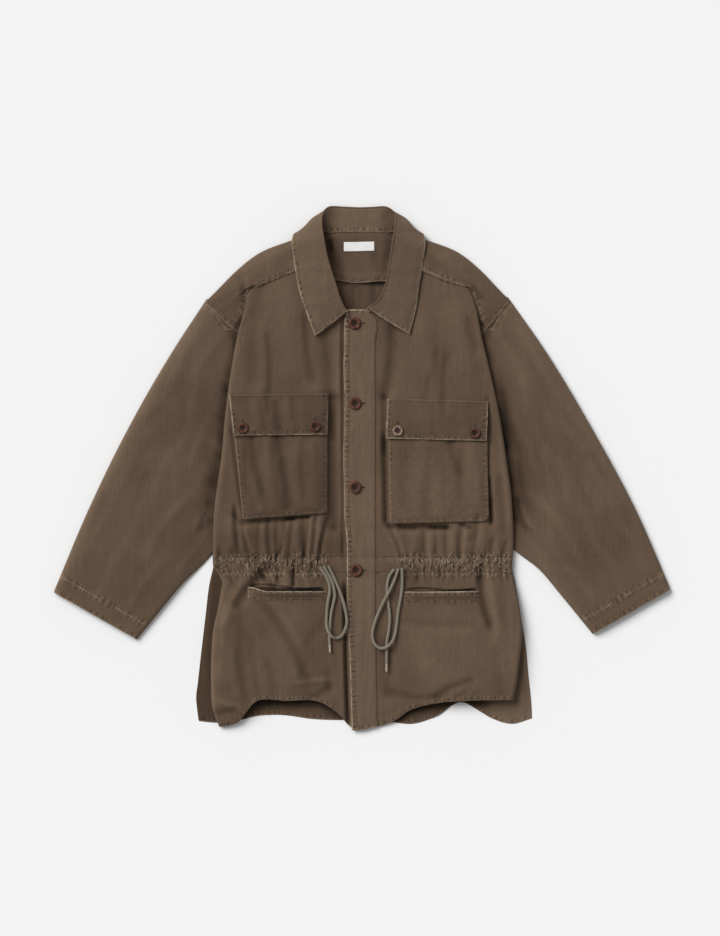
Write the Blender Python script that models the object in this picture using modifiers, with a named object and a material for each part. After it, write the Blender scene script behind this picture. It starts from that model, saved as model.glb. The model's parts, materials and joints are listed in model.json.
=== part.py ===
# Safari jacket lying flat on its back, buttoned, with the waist cords hanging loose.
# Sizes are in millimetres; X runs to the wearer's left, Y to the collar, Z up from the floor.
import math
from collections import namedtuple

import bmesh
import bpy
import numpy as np

for item in list(bpy.data.objects):
    bpy.data.objects.remove(item, do_unlink=True)

MM = 0.001
CLOTH = 1.2            # one layer of washed twill
DOUBLED = 1.6          # collar, flaps, placket and pocket bands, two layers sewn together
LIP = 6.0              # how far a turned side edge rounds in from its fold
GATHERS = 13           # gathers of the waist on each front
GATHER_FLAT = 58.0     # flat stretch from the centre to the first gather
FLAT_COLUMNS = 6
GATHER_HEIGHT = 1.7
GATHER_DOWN = 0.55     # depth between two gathers, as a share of their height
SLEEVE_ENTRY = 6.7     # top of a sleeve where it runs under the front
SLEEVE_MIDDLE = 14.5   # top of a sleeve halfway down
SLEEVE_CUFF = 10.8     # top of a sleeve at its cuff
BUTTON = 20.0
FLAP_BUTTON = 17.4
BUTTON_THICK = 3.2
CORD = 5.0
TIP_LENGTH = 13.0
PLACKET_RISE = 2.4     # outer face of the placket above the front

BASE = (0.105, 0.076, 0.053)
COLOURS = {
    "twill": (BASE, 0.85, 0.0),
    "button": ((0.075, 0.033, 0.026), 0.32, 0.0),
    "cord": ((0.205, 0.185, 0.135), 0.8, 0.0),
    "tip": ((0.42, 0.35, 0.27), 0.45, 0.0),
    "label": ((0.72, 0.72, 0.70), 0.7, 0.0),
}

garment = bpy.data.collections.new("safari_jacket")
bpy.context.scene.collection.children.link(garment)


def rows_of(names, *rows):
    row = namedtuple("row", names)
    return [row(*values) for values in rows]


def finish(kind):
    found = bpy.data.materials.get(kind)
    if found:
        return found
    colour, roughness, metallic = COLOURS[kind]
    material = bpy.data.materials.new(kind)
    material.use_nodes = True
    shader = material.node_tree.nodes["Principled BSDF"]
    shader.inputs["Base Color"].default_value = (*colour, 1.0)
    shader.inputs["Roughness"].default_value = roughness
    shader.inputs["Metallic"].default_value = metallic
    return material


def smooth_curve(points, fractions):
    """Points at the given fractions of a smooth curve through the points, in any dimension."""
    knots = np.array(points, float)
    chord = np.linalg.norm(np.diff(knots, axis=0), axis=1)
    place = np.concatenate([[0.0], np.cumsum(chord)])
    slope = np.diff(knots, axis=0) / chord[:, None]
    tangent = np.empty_like(knots)
    tangent[0] = slope[0]
    tangent[-1] = slope[-1]
    share = (chord[:-1] / (chord[:-1] + chord[1:]))[:, None]
    tangent[1:-1] = slope[:-1] * (1 - share) + slope[1:] * share
    at = np.clip(np.asarray(fractions, float), 0, 1) * place[-1]
    k = np.clip(np.searchsorted(place, at, side="right") - 1, 0, len(chord) - 1)
    h = chord[k][:, None]
    u = (at - place[k])[:, None] / h
    start = knots[k] * (2 * u ** 3 - 3 * u ** 2 + 1) + tangent[k] * h * (u ** 3 - 2 * u ** 2 + u)
    end = knots[k + 1] * (3 * u ** 2 - 2 * u ** 3) + tangent[k + 1] * h * (u ** 3 - u ** 2)
    return start + end


def even(count):
    return np.linspace(0.0, 1.0, count)


def add_object(name, mesh, kind):
    piece = bpy.data.objects.new(name, mesh)
    mesh.materials.append(finish(kind))
    garment.objects.link(piece)
    return piece


def cloth_sheet(name, grid, thickness, kind="twill", flip=False, tube=False):
    """A wall on the outer face that the grid's rows and columns describe."""
    grid = np.asarray(grid, float) * MM
    rows, columns = grid.shape[:2]
    faces = []
    for i in range(rows - 1):
        for j in range(columns if tube else columns - 1):
            k = (j + 1) % columns
            face = (i * columns + j, i * columns + k, (i + 1) * columns + k, (i + 1) * columns + j)
            faces.append(face[::-1] if flip else face)
    mesh = bpy.data.meshes.new(name)
    mesh.from_pydata([tuple(p) for p in grid.reshape(-1, 3)], [], faces)
    mesh.update()
    piece = add_object(name, mesh, kind)
    wall = piece.modifiers.new("wall", "SOLIDIFY")
    wall.thickness = thickness * MM
    wall.offset = -1.0
    mesh.shade_smooth()
    return piece


# ------------------------------------------------------------------ the fronts' height
# outer face of the fronts above the floor, along the opening and near the side folds
HEIGHTS = rows_of(
    "y middle side",
    (430, 11.0, 12.0),
    (330, 11.6, 13.6),
    (250, 10.6, 15.6),
    (150, 9.8, 16.4),
    (0, 9.8, 16.2),
    (-100, 9.8, 14.0),
    (-157, 9.8, 11.6),
    (-200, 11.6, 15.0),
    (-280, 14.4, 20.5),
    (-340, 12.6, 21.5),
    (-376, 9.6, 19.0),
    (-420, 4.8, 6.6),
)
# the largest soft folds: where each runs, its half width and its height
FOLDS = rows_of(
    "x1 y1 x2 y2 width height",
    (-163, 226, -160, 134, 15, 2.2),
    (-96, 214, -78, 134, 14, 1.8),
    (-74, -92, -80, -146, 9, 2.6),
    (-112, -96, -110, -146, 9, 2.0),
    (-188, -98, -194, -146, 10, 2.2),
    (-196, -222, -214, -330, 16, 2.6),
    (-92, -236, -112, -340, 20, 2.4),
    (104, 226, 118, 130, 15, 2.2),
    (164, 226, 176, 130, 13, 2.0),
    (58, -112, 70, -146, 9, 2.4),
    (116, -110, 112, -146, 9, 2.0),
    (186, -104, 182, -146, 10, 2.4),
    (208, -206, 226, -320, 14, 2.6),
    (112, -318, 168, -352, 18, 3.0),
)


def front_height(x, y):
    """Outer face of the fronts over a place on the floor, without gathers."""
    x = np.asarray(x, float)
    y = np.asarray(y, float)
    levels = [row.y for row in HEIGHTS][::-1]
    middle = np.interp(y, levels, [row.middle for row in HEIGHTS][::-1])
    side = np.interp(y, levels, [row.side for row in HEIGHTS][::-1])
    across = np.clip((np.abs(x) - 26) / 165, 0, 1)
    height = middle + (side - middle) * across ** 2 * (3 - 2 * across)
    for fold in FOLDS:
        run = np.array([fold.x2 - fold.x1, fold.y2 - fold.y1], float)
        length = np.linalg.norm(run)
        run /= length
        along = (x - fold.x1) * run[0] + (y - fold.y1) * run[1]
        past = np.maximum(0, np.maximum(-along, along - length))
        off = np.abs((x - fold.x1) * run[1] - (y - fold.y1) * run[0])
        height = height + fold.height * np.exp(-(off / fold.width) ** 2 - (past / 16) ** 2)
    return height


def gather_strength(y):
    return np.interp(y, (-196, -180, -170, -142, -128, -112), (0, 0.5, 1, 1, 0.5, 0))


def channel_height(y):
    """The casing behind the waist stands out between its two rows of stitching."""
    return np.interp(y, (-182, -170, -163, -156, -149, -142, -128), (0, -0.7, 0.5, 0.9, 0.5, -0.7, 0))


# ------------------------------------------------------------------ fronts
# open: end at the placket or neck; fold: the turned side edge; knee and seam: the part turned under
FRONT_NAMES = "open_x open_y fold_x fold_y lip under knee_x knee_y knee_z seam_x seam_y seam_z"
FRONT_RIGHT = rows_of(
    FRONT_NAMES,
    (-77, 337, -167, 299, 0.35, 10.6, -160, 296, 10.4, -156, 293, 10.3),
    (-75, 328, -181, 282, 0.6, 10.6, -170, 280, 9.9, -164, 278, 9.7),
    (-66, 312, -187, 260, 1.0, 9.4, -174, 258, 8.8, -166, 256, 8.6),
    (-52, 287, -194, 234, 1.0, 8.6, -180, 234, 8.2, -171, 234, 8.0),
    (-33, 259, -201, 206, 1.0, 7.8, -188, 206, 7.6, -176, 206, 7.4),
    (6, 237, -206, 178, 1.0, 7.6, -190, 178, 7.4, -178, 178, 7.2),
    (6, 206, -211, 148, 1.0, 7.4, -192, 148, 7.3, -178, 148, 7.2),
    (6, 158, -216, 112, 1.0, 7.4, -192, 112, 7.3, -176, 112, 7.2),
    (6, 110, -220, 76, 1.0, 7.4, -192, 76, 7.3, -172, 76, 7.2),
    (6, 62, -223, 38, 1.0, 7.4, -192, 38, 7.3, -170, 38, 7.2),
    (6, 14, -227, 4, 1.0, 7.4, -194, 4, 7.3, -168, 4, 7.2),
    (6, -30, -232, -30, 1.0, 7.4, -196, -28, 7.3, -172, -26, 6.4),
    (6, -66, -236.5, -66, 1.0, 7.4, -204, -66, 7.0, -188, -66, 2.2),
    (6, -98, -238, -98, 1.0, 7.4, -222, -98, 6.6, -206, -98, 2.2),
    (6, -122, -238.4, -122, 1.0, 7.0, -228, -122, 5.6, -216, -122, 2.2),
    (6, -141, -239, -141, 0.9, 4.4, -228, -141, 3.4, -220, -141, 2.2),
    (6, -149, -239, -149, 0.8, 3.6, -228, -149, 2.8, -220, -149, 2.2),
    (6, -156, -238, -156, 0.8, 3.4, -227, -156, 2.6, -219, -156, 2.2),
    (6, -163, -234, -163, 0.8, 3.4, -224, -163, 2.6, -216, -163, 2.2),
    (6, -170, -229, -170, 0.8, 3.4, -219, -170, 2.6, -211, -170, 2.2),
    (6, -182, -224, -182, 0.9, 3.4, -213, -182, 2.6, -205, -182, 2.2),
    (6, -197, -226, -197, 1.0, 3.6, -214, -197, 2.8, -204, -197, 2.2),
    (6, -226, -231, -226, 1.0, 4.0, -217, -226, 2.8, -206, -226, 2.2),
    (6, -262, -238, -258, 1.0, 4.2, -222, -258, 2.8, -210, -258, 2.2),
    (6, -302, -241, -298, 1.0, 4.4, -224, -298, 2.8, -210, -298, 2.2),
    (6, -345, -241.5, -342, 1.0, 4.2, -224, -342, 2.8, -210, -342, 2.2),
    (6, -384, -239, -384, 1.0, 3.0, -224, -384, 2.5, -212, -384, 2.2),
    (6, -413, -229, -413, 0.8, 2.4, -219, -411, 2.3, -212, -409, 2.2),
)
FRONT_LEFT = rows_of(
    FRONT_NAMES,
    (69, 337, 160, 299.5, 0.35, 10.6, 157, 295, 10.4, 153, 292, 10.3),
    (67, 328, 173, 282, 0.6, 10.6, 166, 279, 9.9, 160, 277, 9.7),
    (59, 312, 182, 259, 1.0, 9.4, 170, 257, 8.8, 162, 255, 8.6),
    (48, 287, 187.5, 234, 1.0, 8.6, 174, 234, 8.2, 165, 234, 8.0),
    (31, 259, 193, 206, 1.0, 7.8, 180, 206, 7.6, 168, 206, 7.4),
    (8, 237, 200, 178, 1.0, 7.6, 184, 178, 7.4, 172, 178, 7.2),
    (8, 206, 207, 148, 1.0, 7.4, 188, 148, 7.3, 174, 148, 7.2),
    (8, 158, 215, 112, 1.0, 7.4, 190, 112, 7.3, 174, 112, 7.2),
    (8, 110, 222, 76, 1.0, 7.4, 192, 76, 7.3, 172, 76, 7.2),
    (8, 62, 228, 38, 1.0, 7.4, 194, 38, 7.3, 170, 38, 7.2),
    (8, 14, 233, 4, 1.0, 7.4, 196, 4, 7.3, 168, 4, 7.2),
    (8, -30, 238, -30, 1.0, 7.4, 198, -28, 7.3, 174, -26, 6.4),
    (8, -66, 241, -66, 1.0, 7.4, 208, -66, 7.0, 192, -66, 2.2),
    (8, -98, 242.5, -98, 1.0, 7.0, 229, -98, 5.6, 214, -98, 2.2),
    (8, -122, 242.6, -122, 1.0, 5.6, 232, -122, 4.4, 222, -122, 2.2),
    (8, -141, 241.5, -141, 0.9, 4.0, 231, -141, 3.2, 223, -141, 2.2),
    (8, -149, 241, -149, 0.8, 3.6, 230, -149, 2.8, 222, -149, 2.2),
    (8, -156, 240.5, -156, 0.8, 3.4, 230, -156, 2.6, 222, -156, 2.2),
    (8, -163, 241, -163, 0.8, 3.4, 230, -163, 2.6, 222, -163, 2.2),
    (8, -170, 242, -170, 0.8, 3.4, 231, -170, 2.6, 223, -170, 2.2),
    (8, -182, 244, -182, 0.9, 3.4, 233, -182, 2.6, 224, -182, 2.2),
    (8, -197, 247.5, -197, 1.0, 3.6, 235, -197, 2.8, 225, -197, 2.2),
    (8, -226, 253, -226, 1.0, 4.0, 239, -226, 2.8, 228, -226, 2.2),
    (8, -262, 256.5, -258, 1.0, 4.2, 241, -258, 2.8, 229, -258, 2.2),
    (8, -302, 253, -296, 1.0, 4.4, 238, -296, 2.8, 226, -296, 2.2),
    (8, -345, 248.5, -334, 1.0, 4.4, 233, -334, 2.8, 221, -334, 2.2),
    (8, -386, 245, -356, 1.0, 4.2, 230, -356, 2.8, 219, -356, 2.2),
    (8, -414, 241.5, -370, 0.9, 4.0, 229, -370, 2.8, 219, -370, 2.2),
)
# the hem line of each front: it arches up between the side fold and the placket
HEM_RIGHT = rows_of(
    "x y",
    (-229, -414), (-214, -411.5), (-199, -406.7), (-186, -391), (-171, -373.5), (-120, -371.5),
    (-68, -373.5), (-38.4, -391.8), (-17, -414), (6, -417),
)
HEM_LEFT = rows_of(
    "x y",
    (8, -416), (24.6, -413.3), (50.4, -404.6), (78.2, -386.2), (112.5, -376.6), (161.6, -371.5),
    (204.8, -370.2), (241.6, -370.2),
)


def gather_columns(open_x, fold_x, gathers):
    """Shares of a front's width: wide columns to the cord's exit, then two for each gather."""
    flat = (GATHER_FLAT - abs(open_x)) / (abs(fold_x) - abs(open_x))
    gathered = flat + even(2 * gathers + 1) * (1 - flat)
    return np.concatenate([even(FLAT_COLUMNS + 1)[:-1] * flat, gathered])


# how far the lowest rows follow the hem line, and how far the highest rows lie under the yoke's corner
HEM_FOLLOW = (1.0, 0.72, 0.32, 0.08)
YOKE_DROP = (1.9, 1.0)
PANEL_WIDTH = 239.0
# the rounded side edge: how far in from the fold and how high, as shares
FOLD_EDGE = rows_of("inset level", (0.3, 0.86), (0.0, 0.5), (0.3, 0.14), (1.0, 0.0))


def front_panel(name, rows, hem, side):
    shares = gather_columns(0.0, PANEL_WIDTH, GATHERS)
    grid = []
    last = len(rows) - 1
    hem_x = [point.x for point in hem]
    hem_y = [point.y for point in hem]
    for number, row in enumerate(rows):
        inward = -side
        turn = LIP * row.lip
        fold_in = row.fold_x + inward * turn
        x = row.open_x + (fold_in - row.open_x) * shares
        y = row.open_y + (row.fold_y - row.open_y) * shares
        if last - number < len(HEM_FOLLOW):
            straight = rows[last].open_y + (rows[last].fold_y - rows[last].open_y) * shares
            y = y + HEM_FOLLOW[last - number] * (np.interp(x, hem_x, hem_y) - straight)
        z = front_height(x, y)
        # alternate columns go up and down where the waist is drawn in
        count = len(x)
        wave = np.zeros(count)
        wave[FLAT_COLUMNS + 1:-1:2] = 1.0
        wave[FLAT_COLUMNS + 2:-1:2] = -GATHER_DOWN
        uneven = 0.8 + 0.3 * np.sin(1.7 * np.arange(count))
        strength = gather_strength(y)
        z = z + GATHER_HEIGHT * wave * uneven * strength + channel_height(y)
        if number < len(YOKE_DROP):
            z = z - YOKE_DROP[number] * shares
        points = [(a, b, c) for a, b, c in zip(x, y, z)]
        top = points[-1][2]
        for edge in FOLD_EDGE:
            at = row.fold_x + inward * turn * edge.inset
            points.append((at, y[-1], row.under + (top - row.under) * edge.level))
        points.append((row.knee_x, row.knee_y, row.knee_z))
        points.append((row.seam_x, row.seam_y, row.seam_z))
        grid.append(points)
    return cloth_sheet(name, grid, CLOTH, flip=side > 0)


# ------------------------------------------------------------------ backs
BACK_NAMES = "middle_y side_x side_y"
BACK_RIGHT = rows_of(
    BACK_NAMES,
    (306, -221, 243), (268, -208.5, 222), (215, -199, 198), (160, -189, 150), (100, -180, 94),
    (45, -175, 38), (-10, -175, -14), (-55, -192, -58), (-98, -213, -98), (-135, -236, -134),
    (-157, -238, -157), (-182, -243.5, -181), (-240, -250.5, -236), (-295, -257, -291),
    (-350, -263, -345), (-380, -265.5, -368), (-403, -261.5, -404.5),
)
BACK_LEFT = rows_of(
    BACK_NAMES,
    (306, 209, 243), (268, 200.5, 222), (215, 192.5, 198), (160, 184.6, 150), (100, 175, 94),
    (45, 172, 38), (-10, 174.5, -14), (-55, 192, -58), (-95, 215, -93), (-128, 239, -126),
    (-157, 240, -157), (-182, 245, -181), (-245, 256.5, -248), (-290, 262.4, -287),
    (-335, 266.7, -334), (-377, 271, -376.6), (-404, 272, -400.3),
)
BACK_HEM_RIGHT = rows_of(
    "x y",
    (-261.5, -404.5), (-236.8, -407), (-200, -404), (-166.9, -396.2), (-132.8, -392.6),
    (-76.8, -398.2), (-25.6, -402.2), (0, -403),
)
BACK_HEM_LEFT = rows_of(
    "x y",
    (0, -404), (50, -406.7), (80, -409), (117, -398), (161.6, -374.7), (183, -385.4), (211, -401.4),
    (239, -409), (272, -400.3),
)
BACK_COLUMNS = 11
BACK_MIDDLE = 0.5      # half of the gap at the centre-back seam
BACK_HEM_FOLLOW = (1.0, 0.35)
BACK_TOP_BEND = 1.6    # how late the two highest rows fall off toward the armhole


def back_panel(name, rows, hem, side):
    grid = []
    last = len(rows) - 1
    for number, row in enumerate(rows):
        share = even(BACK_COLUMNS)
        x = side * BACK_MIDDLE + (row.side_x - side * BACK_MIDDLE) * share
        bend = BACK_TOP_BEND if number < 2 else 1.0
        y = row.middle_y + (row.side_y - row.middle_y) * share ** bend
        if last - number < len(BACK_HEM_FOLLOW):
            line = np.interp(x, [point.x for point in hem], [point.y for point in hem])
            straight = rows[last].middle_y + (rows[last].side_y - rows[last].middle_y) * share
            y = y + BACK_HEM_FOLLOW[last - number] * (line - straight)
        grid.append([(a, b, 0.0) for a, b in zip(x, y)])
    return cloth_sheet(name, grid, CLOTH, flip=side < 0)


# ------------------------------------------------------------------ yoke
# lines from the neck seam out to the armhole or the back seam; the third number is the height
YOKE_SHARES = (0.0, 0.22, 0.45, 0.68, 0.84, 0.93, 1.0)
YOKE_BACK_HEIGHTS = (2.2, 2.2, 1.5, 0.0, 0.0, 1.75, 1.75)
YOKE_ARM_HEIGHTS = (3.8, 3.2, 0.8, 0.0, 0.0, 0.0, 0.0)
YOKE_LINES_RIGHT = rows_of(
    "neck_x neck_y neck_z mid_x mid_y mid_z end_x end_y end_z kind",
    (-77, 331, 13.6, -142, 304, 15.8, -209.6, 226.5, 8.0, "front"),
    (-79, 350, 13.8, -152, 318, 15.6, -231.5, 246.5, 8.0, "top"),
    (-77, 369, 12.6, -160, 337, 12.6, -248.5, 262.5, 7.6, "top"),
    (-74, 377, 7.6, -163, 346, 5.8, -252.8, 265.8, 4.2, "edge"),
    (-72, 373, 2.2, -160, 338, 0.0, -248.5, 262.0, 0.0, "arm"),
    (-62, 372, 2.2, -150, 318, 0.0, -237, 251, 0.0, "arm"),
    (-51, 375.5, 2.2, -128, 315, 0.0, -222.5, 236.5, 1.75, "back"),
    (-35, 377.6, 2.2, -88, 330, 0.0, -140, 281, 1.75, "back"),
    (-20, 378.2, 2.2, -45, 335, 0.0, -70, 295, 1.75, "back"),
    (-4, 378.6, 2.2, -4, 338, 0.0, -4, 299, 1.75, "back"),
)
YOKE_LINES_LEFT = rows_of(
    "neck_x neck_y neck_z mid_x mid_y mid_z end_x end_y end_z kind",
    (12, 378.2, 2.2, 32, 335, 0.0, 56, 295, 1.75, "back"),
    (27, 377.6, 2.2, 74, 330, 0.0, 124, 281, 1.75, "back"),
    (41, 375.5, 2.2, 118, 315, 0.0, 210.5, 236.5, 1.75, "back"),
    (52, 372, 2.2, 138, 318, 0.0, 224, 252, 0.0, "arm"),
    (63, 373, 2.2, 148, 338, 0.0, 233.5, 264.5, 0.0, "arm"),
    (65, 377, 7.6, 152, 347.5, 5.8, 237.6, 268.8, 4.2, "edge"),
    (68, 369, 12.6, 148, 338, 12.6, 233.5, 265, 7.6, "top"),
    (70, 350, 13.8, 140, 319, 15.6, 219.5, 247.5, 8.0, "top"),
    (68, 331, 13.6, 136, 303, 15.8, 202.0, 226.5, 8.0, "front"),
)
YOKE_FRONT_RIGHT = rows_of(
    "x y z",
    (-77, 331, 13.7), (-107, 318, 14.9), (-140, 304.5, 15.6), (-168, 294, 15.3),
    (-183, 288, 9.6), (-189, 262, 8.6), (-209.6, 226.5, 8.0),
)
YOKE_FRONT_LEFT = rows_of(
    "x y z",
    (68, 331, 13.7), (96, 319, 14.9), (132, 303.5, 15.6), (164, 293, 15.3),
    (179, 287, 9.6), (184.5, 262, 8.6), (202.0, 226.5, 8.0),
)


def yoke_line(line):
    neck = (line.neck_x, line.neck_y, line.neck_z)
    middle = (line.mid_x, line.mid_y, line.mid_z)
    end = (line.end_x, line.end_y, line.end_z)
    points = smooth_curve((neck, middle, end), YOKE_SHARES)
    if line.kind == "back":
        points[:, 2] = YOKE_BACK_HEIGHTS
    if line.kind == "arm":
        points[:, 2] = YOKE_ARM_HEIGHTS
    return points


def yoke():
    right = [yoke_line(line) for line in YOKE_LINES_RIGHT]
    left = [yoke_line(line) for line in YOKE_LINES_LEFT]
    right[0] = np.array([tuple(point) for point in YOKE_FRONT_RIGHT], float)
    left[-1] = np.array([tuple(point) for point in YOKE_FRONT_LEFT], float)
    return cloth_sheet("yoke", right + left, CLOTH, flip=True)


# ------------------------------------------------------------------ sleeves
# seam_top is the front of the armhole, seam_under its back; outer and inner are the two long edges
SLEEVES = {
    "sleeve_right": {
        "side": -1,
        "seam_top": (
            (-253.8, 264.4), (-233, 245.2), (-213.4, 221.4), (-194, 232), (-182, 200), (-178, 150),
            (-174, 90), (-171, 38), (-180, -19),
        ),
        "seam_under": (
            (-253.8, 264.4), (-238.4, 250.0), (-223.6, 234.6), (-200.4, 200), (-190.8, 150),
            (-181.6, 94), (-176.6, 38), (-180, -19),
        ),
        "outer": ((-253.8, 264.4), (-302.4, 189.8), (-376, 61.8), (-438.4, -66.2), (-494, -198)),
        "inner": (
            (-180, -19), (-194.5, -58.5), (-215.8, -99), (-240.4, -136.6), (-290.7, -188.3),
            (-327.5, -233.3), (-360.5, -273.6),
        ),
    },
    "sleeve_left": {
        "side": 1,
        "seam_top": (
            (238.6, 267.6), (221, 246.4), (205.4, 221.6), (188, 232), (177, 200), (174, 150),
            (171, 90), (169, 38), (180, -19),
        ),
        "seam_under": (
            (238.6, 267.6), (225.4, 251.0), (211.8, 234.6), (194, 200), (186.2, 150),
            (176.6, 94), (173.6, 38), (180, -19),
        ),
        "outer": ((238.6, 267.6), (292.8, 189.8), (369.6, 61.8), (438.4, -66.2), (494.2, -193.4)),
        "inner": (
            (180, -19), (194.5, -58.5), (217.8, -94), (243.2, -129), (282.1, -159.8),
            (318.7, -202.7), (369.6, -265),
        ),
    },
}
SLEEVE_SECTIONS = 13
RING = rows_of(
    "across level",
    (0.0, 0.45), (0.03, 0.86), (0.11, 1.0), (0.19, 1.0), (0.31, 1.0), (0.5, 1.0), (0.68, 1.0),
    (0.82, 1.0),
    (0.965, 0.86), (1.0, 0.45), (0.965, 0.0), (0.72, 0.0), (0.45, 0.0), (0.2, 0.0), (0.03, 0.0),
)
# x of the body's visible side edge down the garment; the body presses on the sleeve inside it
BODY_EDGE = rows_of(
    "y right left",
    (265, -253, 238), (226, -212, 203), (204, -201, 194), (158, -210, 204), (84, -220, 220),
    (10, -226, 232), (-63, -236, 241), (-122, -239, 243), (-300, -239, 243),
)
PRESSED_OUT = 70.0     # distance from that edge at which the sleeve has its full height
SLEEVE_LEVELS = rows_of("along height", (0, 9.0), (0.25, 13.6), (0.55, SLEEVE_MIDDLE), (1.0, SLEEVE_CUFF))
ENTRY_LEVELS = rows_of(
    "across height", (0, 8.0), (0.17, 8.0), (0.24, SLEEVE_ENTRY), (0.7, SLEEVE_ENTRY), (1.0, 5.0)
)
SEAM_REACH = 0.34      # share of the sleeve over which the shape of the armhole fades out


def sleeve_top(along, across, x, y, side):
    """Height of a sleeve's upper layer: low at the armhole and under the body, full at mid length."""
    levels = [row.y for row in BODY_EDGE][::-1]
    edge = np.interp(y, levels, [(row.left if side > 0 else row.right) for row in BODY_EDGE][::-1])
    free = np.clip((side * (x - edge) - 4) / PRESSED_OUT, 0, 1)
    free = free * free * (3 - 2 * free)
    full = np.interp(along, [row.along for row in SLEEVE_LEVELS], [row.height for row in SLEEVE_LEVELS])
    entry = np.interp(across, [row.across for row in ENTRY_LEVELS], [row.height for row in ENTRY_LEVELS])
    return entry + (full - entry) * free


def sleeve(name, shape):
    side = shape["side"]
    shares = even(SLEEVE_SECTIONS) ** 1.15
    outer = smooth_curve(shape["outer"], shares)
    inner = smooth_curve(shape["inner"], shares)
    across = np.array([point.across for point in RING])
    level = np.array([point.level for point in RING])
    top = level > 0.0
    seam_top = smooth_curve(shape["seam_top"], across)
    seam_under = smooth_curve(shape["seam_under"], across)
    seam = np.where(top[:, None], seam_top, seam_under)
    grid = []
    for number, share in enumerate(shares):
        line = outer[number] * (1 - across[:, None]) + inner[number] * across[:, None]
        first = outer[0] * (1 - across[:, None]) + inner[0] * across[:, None]
        fade = max(0.0, 1 - share / SEAM_REACH) ** 2
        plan = line + (seam - first) * fade
        height = sleeve_top(share, across, plan[:, 0], plan[:, 1], side)
        grid.append([(p[0], p[1], h * k) for p, h, k in zip(plan, height, level)])
    return cloth_sheet(name, grid, CLOTH, flip=side < 0, tube=True)


# ------------------------------------------------------------------ collar
COLLAR = rows_of(
    "seam_x seam_y seam_z roll_x roll_y roll_z mid_x mid_y mid_z edge_x edge_y edge_z",
    (-20, 241, 15.2, -24, 252, 19.6, -48, 232, 19.5, -75.5, 212.2, 17.2),
    (-36, 264, 15.2, -32, 268, 22.0, -60, 257, 20.8, -88, 247, 17.6),
    (-52, 290, 15.4, -43, 302, 23.8, -72, 297, 21.2, -101.5, 288, 17.8),
    (-66, 318, 15.6, -54, 337, 24.4, -82, 334, 21.6, -108.5, 329, 17.8),
    (-76, 347, 15.8, -60.5, 372, 24.4, -86, 371, 20.6, -112.5, 366, 16.6),
    (-75, 367, 14.0, -63.5, 393, 21.4, -84, 394, 14.0, -114.6, 379.5, 5.0),
    (-66, 379.5, 6.6, -61.5, 410, 14.0, -80, 401.5, 3.6, -89, 360, 0.0),
    (-51, 378.6, 2.4, -54, 419, 9.6, -57, 411, 0.4, -72, 359, 0.0),
    (-27, 379.4, 2.4, -28, 419.6, 7.4, -29, 413.5, 0.0, -35, 356, 0.0),
    (-4, 379.8, 2.4, -4, 418.6, 7.2, -4, 412.5, 0.0, -4, 355, 0.0),
    (20, 379.4, 2.4, 16, 419.2, 7.4, 17, 413, 0.0, 24, 356, 0.0),
    (40, 378.6, 2.4, 40, 419.2, 9.6, 44, 411, 0.4, 60, 359, 0.0),
    (56, 379.5, 6.6, 51.5, 410, 14.0, 70, 401.5, 3.6, 79, 360, 0.0),
    (65, 367, 14.0, 53.0, 393, 21.4, 74, 394, 14.0, 103.6, 379.5, 5.0),
    (66, 347, 15.8, 49.5, 372, 24.4, 76, 371, 20.6, 101.0, 366, 16.6),
    (58, 318, 15.6, 44.5, 338, 24.4, 72, 336, 21.6, 97.5, 330, 17.8),
    (46, 290, 15.4, 39, 303, 23.8, 64, 297, 21.2, 91, 290, 17.8),
    (30, 264, 15.2, 26, 271, 22.0, 55, 258, 20.8, 86, 253, 17.6),
    (14, 243, 15.2, 8, 257, 19.6, 42, 235, 19.5, 75.8, 215, 17.2),
)
COLLAR_SECTIONS = 31
LEAF_SHARES = (0.0, 0.14, 0.32, 0.55, 0.8, 1.0)
STAND_SHARES = (0.0, 0.35, 0.7, 1.0)
STATION_STEP = 12.0    # spacing of the stations while the lines between them are smoothed
STAND_BELOW = 0.16     # how far the stand's top edge stays below the roll, as a share of its height
STAND_UNDER = (0.0, 0.0, 3.2)


def collar():
    shares = even(COLLAR_SECTIONS)
    steps = np.arange(len(COLLAR))
    lines = {}
    for part in ("seam", "roll", "mid", "edge"):
        columns = [[getattr(row, part + axis) for row in COLLAR] for axis in ("_x", "_y", "_z")]
        points = np.array([steps * STATION_STEP, *columns], float).T
        lines[part] = smooth_curve(points, shares)[:, 1:]
    leaf = []
    stand = []
    for seam, roll, mid, edge in zip(lines["seam"], lines["roll"], lines["mid"], lines["edge"]):
        section = smooth_curve((roll, mid, edge), LEAF_SHARES)
        section[:, 2] = np.maximum(section[:, 2], 0.0)
        leaf.append(section)
        # the stand rises from the neck seam to just under the roll
        top = roll + (seam - roll) * STAND_BELOW - np.array(STAND_UNDER)
        stand.append([seam + (top - seam) * share for share in STAND_SHARES])
    cloth_sheet("collar_leaf", leaf, DOUBLED, flip=True)
    cloth_sheet("collar_stand", stand, DOUBLED)


# ------------------------------------------------------------------ placket
PLACKET = rows_of(
    "y left right",
    (250, -26.5, 16), (241, -27.2, 21.5), (200, -28, 22), (158, -29.6, 22), (116, -27.6, 22),
    (70, -28.6, 22), (25, -29.8, 22), (-30, -28.6, 22), (-87, -27.4, 22), (-112, -24.4, 22),
    (-128, -24, 22), (-142, -24, 22), (-156, -24, 22), (-170, -24, 22), (-182, -24, 22),
    (-197, -24, 22), (-226, -23.4, 22), (-262, -22, 22.6), (-302, -19.6, 23), (-345, -18.4, 23.6),
    (-384, -17.2, 24.4), (-404, -16.6, 25), (-419.5, -16, 25.4),
)
PLACKET_SHARES = (0.0, 0.3, 0.65, 1.0)


def panel_point(x, y, rise):
    return (x, y, float(front_height(x, y) + channel_height(y)) + rise)


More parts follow.
